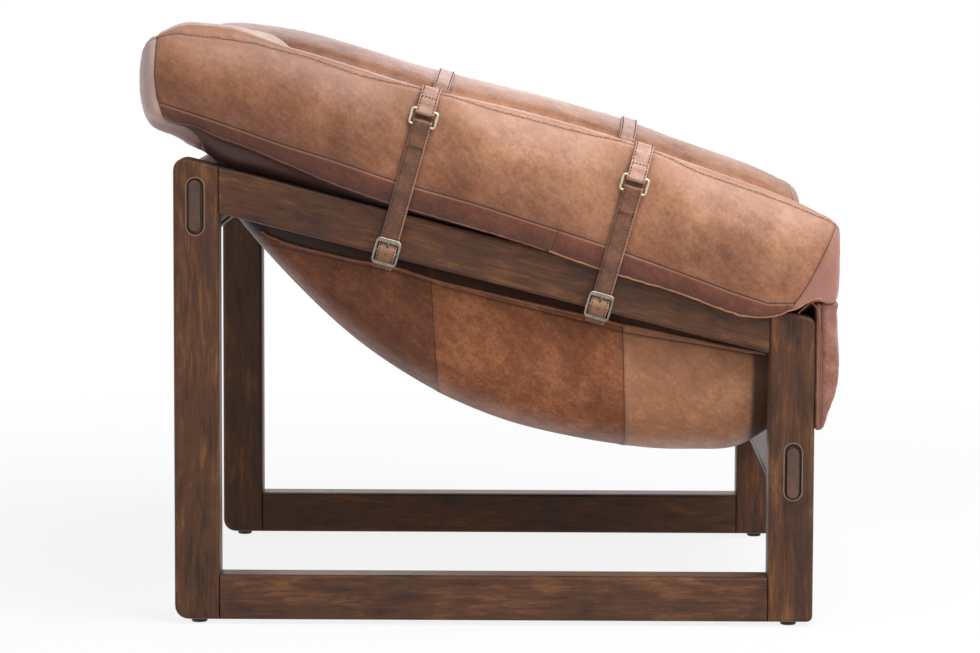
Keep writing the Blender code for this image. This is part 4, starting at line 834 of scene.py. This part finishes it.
def loose_cushion(name, fullness):
    piece = solid_copy(name, name + "_leather")
    even_mesh(piece, 0.007)
    places = points_of(piece)
    normals = points_of(piece, "normal")
    side_gap = cushion_side - np.abs(places[:, 0])
    held = 1 - smooth_step(side_gap, 0.004, 0.014)
    resting = normals[:, 2] < -0.15
    held = np.where(resting, 1.0, held)
    cap = np.where(resting, 0.0, fullness) * smooth_step(side_gap, 0.002, 0.05)
    stuffed(piece, held, cap)
    places = points_of(piece)
    low_rear = smooth_step(places[:, 1], 0.33, 0.37) * smooth_step(0.625 - places[:, 2], 0.0, 0.03)
    places[:, 2] += rear_edge_lift * low_rear
    move_points(piece, places)
    edge = cushion_side - 0.011 - np.abs(places[:, 0])
    sewn(piece, {"edge": edge}, ("edge",))
    covered(piece, cushion_leather)
    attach(piece, chair_body)
    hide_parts(name)


loose_cushion("seat_cushion", 0.008)
loose_cushion("back_cushion", 0.005)

# The slung seat: thick leather panels sewn side to side, sleeved over both cross rails, that carry the cushions.
# Its sides climb inside the arm rails to a turned lip above a side seam, with painted shade in the gap under the
# rail.
sling_half_width = 0.346
sling_leather_thickness = 0.005
sling_front_y, sling_back_y = -0.3551, 0.3551
sling_middle_line = [(-0.3551, 0.2289), (-0.3082, 0.2005), (-0.2521, 0.196), (-0.1918, 0.1974), (-0.0966, 0.2112),
                     (-0.0064, 0.2338), (0.0809, 0.272), (0.1733, 0.3328), (0.2521, 0.4072), (0.3231, 0.4922),
                     (0.3551, 0.548)]
sling_side_seam_line = [(-0.345, 0.332), (-0.320, 0.3355), (-0.252, 0.3478), (-0.163, 0.3617), (-0.112, 0.3751),
                        (-0.006, 0.4009), (0.069, 0.4197), (0.121, 0.4369), (0.182, 0.448), (0.30, 0.475)]
sling_lip_lift = [(-0.342, 0.0036), (-0.312, 0.004), (-0.267, 0.0046), (-0.174, 0.0096), (-0.125, 0.0086),
                  (-0.009, 0.0068), (0.105, 0.005), (0.3, 0.005)]
sling_corner_power = 5
sling_below_rail = 0.012
sleeve_out, sleeve_up = 0.0154, 0.0369


def curve_height(line, at):
    """Height on a smooth curve through points that are sorted along Y."""
    index = min(max(sum(1 for point in line if point[0] <= at) - 1, 0), len(line) - 2)
    (y0, z0), (y1, z1) = line[index], line[index + 1]
    before, after = line[max(index - 1, 0)], line[min(index + 2, len(line) - 1)]
    lean0 = (z1 - before[1]) / (y1 - before[0])
    lean1 = (after[1] - z0) / (after[0] - y0)
    run = y1 - y0
    t = min(max((at - y0) / run, 0), 1)
    return ((2 * t**3 - 3 * t**2 + 1) * z0 + (t**3 - 2 * t**2 + t) * run * lean0
            + (3 * t**2 - 2 * t**3) * z1 + (t**3 - t**2) * run * lean1)


def rail_top_at(y):
    return 0.385 + (y + 0.3965) * math.tan(rail_lean)


def sling_height(share, y):
    middle = curve_height(sling_middle_line, y)
    climb = 1 - max(0.0, 1 - min(abs(share), 1) ** sling_corner_power) ** (1 / sling_corner_power)
    return middle + (rail_top_at(y) - sling_below_rail - middle) * climb


def sleeve_route(rail_y, rail_height, side):
    """Corners of the leather round a cross rail, from above the seat's end and round to below."""
    out, up = sleeve_out, sleeve_up
    corners = [(-out, up), (out, up), (out, -up), (-out, -up)]
    route = []
    for (y0, z0), (y1, z1) in zip(corners, corners[1:]):
        for step in range(6):
            route.append((rail_y + side * (y0 + (y1 - y0) * step / 6), rail_height + z0 + (z1 - z0) * step / 6))
    route.append((rail_y - side * out, rail_height - up))
    return route


def sling_shape():
    """A flat grid whose rows take the seat's profile, and beyond it the way round each cross rail."""
    bed_rows, columns = 96, 84
    front_sleeve = sleeve_route(-0.3705, 0.192, -1)[1:]
    back_sleeve = sleeve_route(0.3705, 0.522, 1)
    rows = len(front_sleeve) + bed_rows + 1 + len(back_sleeve)
    bm = bmesh.new()
    bmesh.ops.create_grid(bm, x_segments=columns, y_segments=rows - 1, size=0.5)
    cut = []
    for vert in bm.verts:
        row = round((vert.co.y + 0.5) * (rows - 1))
        across = vert.co.x * 2
        share = math.copysign(1 - (1 - abs(across)) ** 1.7, across) if abs(across) < 1 else across
        x = share * sling_half_width
        if row < len(front_sleeve):
            y, z = front_sleeve[len(front_sleeve) - 1 - row]
        elif row <= len(front_sleeve) + bed_rows:
            y = sling_front_y + (sling_back_y - sling_front_y) * (row - len(front_sleeve)) / bed_rows
            z = sling_height(share, y)
        else:
            y, z = back_sleeve[row - len(front_sleeve) - bed_rows - 1]
        vert.co = (x, y + chair_shift, z)
        if abs(share) > 0.905 and (row < len(front_sleeve) or row > len(front_sleeve) + bed_rows):
            cut.append(vert)
    bmesh.ops.delete(bm, geom=cut, context="VERTS")
    bm.normal_update()
    return piece_of(bm, "sling_seat_leather")


sling = sling_shape()
places = points_of(sling)
_, y, z = side_view(places)
rear_seam = y - (0.071 + (z - 0.28) * 0.06)
front_seam = y + 0.164 - (z - 0.22) * 0.03
side_seam = np.where(np.abs(places[:, 0]) > 0.30, z - height_on(sling_side_seam_line, y), -0.05)
above_lip = side_seam - height_on(sling_lip_lift, y)
sewn(sling, {"panel_rear": rear_seam, "panel_front": front_seam, "side": side_seam, "above_lip": above_lip},
     ("panel_rear", "panel_front", "side"), depth=0.0012)
sling_skin = surface_tree(sling)
modified(sling, "thickness", "SOLIDIFY", thickness=sling_leather_thickness, offset=1, use_even_offset=True)
settle(sling)
sling_leather = leather("sling_leather", ((169, 109, 69), (137, 81, 50), (103, 60, 37)), gloss=0.24, sheen=0.05,
                        seams=("panel_rear", "panel_front", "side"),
                        panels=(("panel_rear", 0, 1, 0.0005, (196, 190, 190), 0.8, "MULTIPLY"),
                                ("panel_front", -1, 0, 0.0005, (137, 84, 54), 0.4, "MIX"),
                                ("panel_front", -1, 0, 0.0005, (308, 345, 380), 1.0, "MULTIPLY"),
                                # Painted shade: the seat's rear end, up to the back cross rail.
                                ("along", 0.3, 1, 0.02, (70, 46, 38), 0.7, "MIX"),
                                # Painted shade: the gap between the seat's turned lip and the arm rail.
                                ("above_lip", 0.002, 1, 0.001, (34, 21, 16), 0.88, "MIX"),
                                # Painted shadow: the seat's front end, where the front leg shades it.
                                ("along", -1, -0.322, 0.004, (36, 22, 17), 0.85, "MIX")))
covered(sling, sling_leather)
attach(sling, chair_body)
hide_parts("sling_seat")


def sling_rim(sign, lift):
    """Points along one side of the sling: on its side seam where lift is 0, and on its lip where it is 1."""
    route = []
    for step in range(121):
        y = -0.338 + 0.635 * step / 120
        z = float(height_on(sling_side_seam_line, y) + lift * height_on(sling_lip_lift, y))
        middle = curve_height(sling_middle_line, y)
        climb = (z - middle) / (rail_top_at(y) - sling_below_rail - middle)
        share = (1 - (1 - min(max(climb, 0), 0.999)) ** sling_corner_power) ** (1 / sling_corner_power)
        route.append((sign * share * sling_half_width, y + chair_shift, z))
    return route


sling_stitch_rows = []
lip_routes = []
lip_stands_out = 0.0012
stitch_ends = 240
for sign in (-1, 1):
    rim_skin = []
    for lift in (0, 1):
        guesses = np.array([(sign * (sling_half_width + 0.004), y, z) for _, y, z in sling_rim(sign, lift)])
        if lift == 0:
            stops = np.linspace(0, len(guesses) - 1, stitch_ends)
            guesses = np.stack([np.interp(stops, np.arange(len(guesses)), column) for column in guesses.T], 1)
        rim_skin.append(on_surface(sling_skin, guesses))
    sling_stitch_rows.append([(place, -up) for place, up in rim_skin[0]])
    lip_routes.append([tuple(place + Vector((sign * lip_stands_out, 0, 0))) for place, _ in rim_skin[1]])
sling_lip_leather = leather("sling_lip_leather", ((146, 92, 64), (127, 77, 53), (101, 59, 41)))
sling_lip = cord_along("sling_lip", lip_routes, 0.0021, sling_lip_leather)
stitches("sling_stitching", sling_stitch_rows)

# The front apron: a padded leather panel that hangs before the front legs, sewn along its back edge.
# A piped loop of the same leather closes its side above the seam.
apron = solid_copy("front_apron", "front_apron_leather")
even_mesh(apron, 0.004, kind="SIMPLE")
places = points_of(apron)
behind = places[:, 1] - chair_shift
top_edge = 1 - smooth_step(places[:, 2].max() - places[:, 2], 0.002, 0.01)
held = np.maximum(np.where(behind > -0.402, 1.0, 0.0), top_edge)
stuffed(apron, held, np.where(held > 0.5, 0.0, 0.003))
places = points_of(apron)
near_top = smooth_step(places[:, 2] - places[:, 2].max() + 0.011, 0.0, 0.008)
places[:, 2] += 0.004 * near_top
places[:, 1] -= 0.0025 * near_top * smooth_step(-places[:, 1], 0.41, 0.425)
move_points(apron, places)
sewn(apron, {"edge": -0.403 - (places[:, 1] - chair_shift)}, ("edge",))
apron_leather = leather("apron_leather", ((151, 105, 89), (125, 81, 67), (100, 62, 51)), seams=("edge",),
                        panels=(("edge", -1, 0, 0.0005, (166, 116, 84), 0.7, "MIX"),))
covered(apron, apron_leather)
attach(apron, chair_body)
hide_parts("front_apron")
apron_loop = [(-0.3745, 0.3916), (-0.3906, 0.4058), (-0.398, 0.3978), (-0.4005, 0.3854), (-0.403, 0.36),
              (-0.4035, 0.30), (-0.402, 0.2457)]
loop_routes = [[(sign * 0.3965, y + chair_shift, z) for y, z in along_line(apron_loop, 0.003)] for sign in (-1, 1)]
cord_along("apron_piping", loop_routes, 0.0009, dark_lip_leather)

# The straps: cut strips with a stitched edge. An upper one goes over the arm to a wire ring, a lower one from
# the ring down to a buckle, and an anchor goes from the buckle's pin under the rail to the slung seat.
# The strap edges are paler: worn raw edges, with a painted highlight that makes the front edge the brighter.
worn_edges = (("across", 0.8, 2, 0.03, (176, 132, 108), 0.6, "MIX"),
              ("across", -2, -0.95, 0.03, (176, 132, 108), 0.45, "MIX"))
in_buckle = ("up", -0.0135, 0.0135, 0.001, (156, 116, 80), 0.5, "MIX")
upper_leather = leather("upper_strap_leather", ((188, 148, 128), (162, 122, 104), (130, 92, 76)),
                        panels=worn_edges)
lower_leather = leather("lower_strap_leather", ((131, 86, 61), (105, 68, 48), (80, 48, 34)),
                        panels=(*worn_edges, in_buckle))
ring_height = {"rear": 0.16985, "front": 0.15485}
strap_fullness = 1.07
strap_thickness, anchor_thickness = 0.0022, 0.0017
thread_inset = 0.0022
soft_edge, worn_edge = 0.0005, 0.0006
strap_holes = (0.0055, -0.003)


def strap_turn(end, side):
    """Where a strap set's own frame lies: x outward, y across the strap, z up it."""
    place_y, place_z = strap_planes[end]
    sign = 1 if side == "left" else -1
    matrix = Matrix.Translation((sign * 0.395, place_y + chair_shift, place_z)) @ Matrix.Rotation(strap_lean, 4, "X")
    return matrix @ Matrix.Rotation(math.pi, 4, "Z") if sign < 0 else matrix


def strap_route(name, end, side):
    """The middle line of a flat strap, read from the rim of its solid, and half its width."""
    bm = merged(name)
    bmesh.ops.transform(bm, matrix=strap_turn(end, side).inverted(), verts=bm.verts)
    edge_y = max(vert.co.y for vert in bm.verts)
    rim = {vert for vert in bm.verts if vert.co.y > edge_y - 1e-5}
    outline_edges = [edge for edge in bm.edges if edge.verts[0] in rim and edge.verts[1] in rim
                     and sum(1 for face in edge.link_faces if all(v in rim for v in face.verts)) == 1]
    near = {}
    for edge in outline_edges:
        first, second = edge.verts
        near.setdefault(first, []).append(second)
        near.setdefault(second, []).append(first)
    start = next(iter(near))
    loop = [start]
    last, here = None, start
    while True:
        following = [vert for vert in near[here] if vert is not last]
        last, here = here, following[0]
        if here is start:
            break
        loop.append(here)
    points = [(vert.co.x, vert.co.z) for vert in loop]
    count = len(points)
    bm.free()
    best = None
    for offset in range(count):
        turned = points[offset:] + points[:offset]
        half = count // 2
        gaps = [math.dist(turned[i], turned[count - 1 - i]) for i in range(half)]
        if best is None or sum(gaps) < best[0]:
            best = (sum(gaps), turned, half)
    _, turned, half = best
    return [((turned[i][0] + turned[count - 1 - i][0]) / 2, (turned[i][1] + turned[count - 1 - i][1]) / 2)
            for i in range(half)], edge_y


def eased(route, spacing):
    """The route with its corners rounded, as points at an even spacing."""
    points = [Vector(point) for point in route]
    for _ in range(2):
        cut = [points[0]]
        for first, second in zip(points, points[1:]):
            cut += [first.lerp(second, 0.25), first.lerp(second, 0.75)]
        cut.append(points[-1])
        points = cut
    lengths = [0.0]
    for first, second in zip(points, points[1:]):
        lengths.append(lengths[-1] + (second - first).length)
    count = max(int(lengths[-1] / spacing), 8)
    stops = np.linspace(0, lengths[-1], count + 1)
    xs = np.interp(stops, lengths, [point.x for point in points])
    zs = np.interp(stops, lengths, [point.y for point in points])
    return list(zip(xs, zs))


def looped(name, end, route):
    """The route with its looped end closed up to the ring and sewn further along the strap."""
    ring = ring_height[end]
    upper = name.startswith("upper")
    sewn_to = (0.0216, ring + 0.0295) if upper else (0.0266, ring - 0.0355)
    route = [sewn_to, *route] if route[0][0] > 0.025 else [*route, sewn_to]
    if upper:
        return route
    return [(x, z + 0.005 * float(smooth_step(z, ring - 0.018, ring - 0.008))) for x, z in route]


def strap_piece(name, end, side, thickness, material):
    """A strap bent along its solid's middle line; gives back that line and half its width for its rows of thread."""
    route, half_width = strap_route(name, end, side)
    half_width *= strap_fullness
    line = eased(route if name.startswith("anchor") else looped(name, end, route), 0.0015)
    rows, columns = len(line) - 1, 16
    bm = bmesh.new()
    bmesh.ops.create_grid(bm, x_segments=columns, y_segments=rows, size=0.5)
    forward_side = 1 if side == "right" else -1
    across_layer = bm.verts.layers.float.new("across")
    up_layer = bm.verts.layers.float.new("up")
    for vert in bm.verts:
        x, z = line[round((vert.co.y + 0.5) * rows)]
        vert[across_layer] = vert.co.x * 2 * forward_side
        vert[up_layer] = z
        vert.co = (x, vert.co.x * 2 * half_width, z)
    piece = piece_of(bm, name + "_leather")
    modified(piece, "thickness", "SOLIDIFY", thickness=thickness, offset=0, use_even_offset=True, thickness_clamp=1)
    modified(piece, "soft_edges", "BEVEL", width=soft_edge, segments=2, limit_method="ANGLE")
    settle(piece)
    piece.data.transform(strap_turn(end, side))
    covered(piece, material)
    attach(piece, chair_body)
    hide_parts(name)
    return line, half_width


def strap_threads(line, half_width, thickness, turn, pitch=0.0042):
    """Rows of stitch ends on both faces of a strap, along its two edges."""
    turn_only = turn.to_3x3()
    spaced = eased(line, pitch / 2)
    found = []
    for face in (-1, 1):
        for across in (-half_width + thread_inset, half_width - thread_inset):
            row = []
            for before, here, after in zip(spaced, spaced[1:], spaced[2:]):
                along = Vector((after[0] - before[0], 0, after[1] - before[1])).normalized()
                outward = Vector((-along.z, 0, along.x)) * face
                place = Vector((here[0], across, here[1])) + outward * thickness / 2
                row.append((turn @ place, turn_only @ outward))
            found.append(row)
    return found


def cross_row(line, height, half_width, thickness, turn):
    """Stitch ends across a strap's outer face, where its looped end is sewn down."""
    x = max(x for x, z in line if abs(z - height) < 0.002)
    outward = turn.to_3x3() @ Vector((1, 0, 0))
    return [(turn @ Vector((x + thickness / 2, across, height)), outward)
            for across in np.linspace(thread_inset - half_width, half_width - thread_inset, 10)]


for end in ("rear", "front"):
    for side in ("left", "right"):
        rows = []
        turn = strap_turn(end, side)
        for kind, thickness, material in (("upper_strap", strap_thickness, upper_leather),
                                          ("lower_strap", strap_thickness, lower_leather),
                                          ("anchor_strap", anchor_thickness, lower_leather)):
            line, half_width = strap_piece(f"{kind}_{end}_{side}", end, side, thickness, material)
            if kind != "anchor_strap":
                rows += strap_threads(line, half_width, thickness, turn)
                sewn_at = ring_height[end] + (0.028 if kind == "upper_strap" else -0.034)
                rows.append(cross_row(line, sewn_at, half_width, thickness, turn))
            if kind == "lower_strap":
                holes = [cross_row(line, height, 0.0026, thickness, turn)[:2] for height in strap_holes]
        stitches(f"strap_stitching_{end}_{side}", rows, length=0.0029, radius=0.0007)
        # The holes are dark thread-coloured discs sunk in the strap: painted shade where the openings are.
        stitches(f"strap_holes_{end}_{side}", holes, length=0.0022, radius=0.0011, lift=-0.0008)

# Rings, buckles, pins and tongues: brass plated with nickel, polished once and worn dull. Each ring is bent from
# wire, and each tongue has its eye round the buckle's pin and turns on it.


def worn_metal(name, dark, pale):
    material, tree = new_material(name)
    smears = noise_of(tree, object_place(tree), 160.0, 4.0)
    scuffs = noise_of(tree, object_place(tree), 1400.0, 3.0)
    surfaced(tree, {"Base Color": blended(tree, smears, dark, pale), "Metallic": 1.0,
                    "Roughness": ranged(tree, smears, 0.3, 0.7, 0.24, 0.36),
                    "Normal": bumped(tree, scuffs, 0.00005, 0.2)})
    return material


metal_fullness = {"ring": (1.17, 1.08), "buckle": (1.12, 1.13)}
ring_lift = 0.002
frame_thinning = 0.0008
ring_metal = worn_metal("polished_nickel", (0.42, 0.37, 0.26, 1), (0.76, 0.70, 0.54, 1))
buckle_metal = worn_metal("worn_nickel", (0.10, 0.086, 0.07, 1), (0.40, 0.355, 0.30, 1))
for name in sorted(nodes):
    if not name.startswith(("ring", "buckle")):
        continue
    piece = solid_copy(name, name + "_metal")
    if name.startswith("buckle_frame"):
        move_points(piece, points_of(piece) - points_of(piece, "normal") * frame_thinning)
        modified(piece, "worn_edges", "BEVEL", width=worn_edge, segments=3, limit_method="ANGLE")
    else:
        modified(piece, "round_form", "SUBSURF", levels=1, render_levels=1)
    settle(piece)
    covered(piece, ring_metal if name.startswith("ring") else buckle_metal)
    kind, end, side = name.split("_")[0], *name.split("_")[-2:]
    if not name.startswith("buckle_tongue"):
        turn = strap_turn(end, side)
        middle, lifted = (ring_height[end], ring_height[end] + ring_lift) if kind == "ring" else (0, 0)
        to_middle = Matrix.Translation((0, 0, -middle)) @ turn.inverted()
        fuller = Matrix.Diagonal((1, *metal_fullness[kind], 1))
        piece.data.transform(turn @ Matrix.Translation((0, 0, lifted)) @ fuller @ to_middle)
    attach(piece, f"tongue_{end}_{side}" if name.startswith("buckle_tongue") else chair_body)
    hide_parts(name)
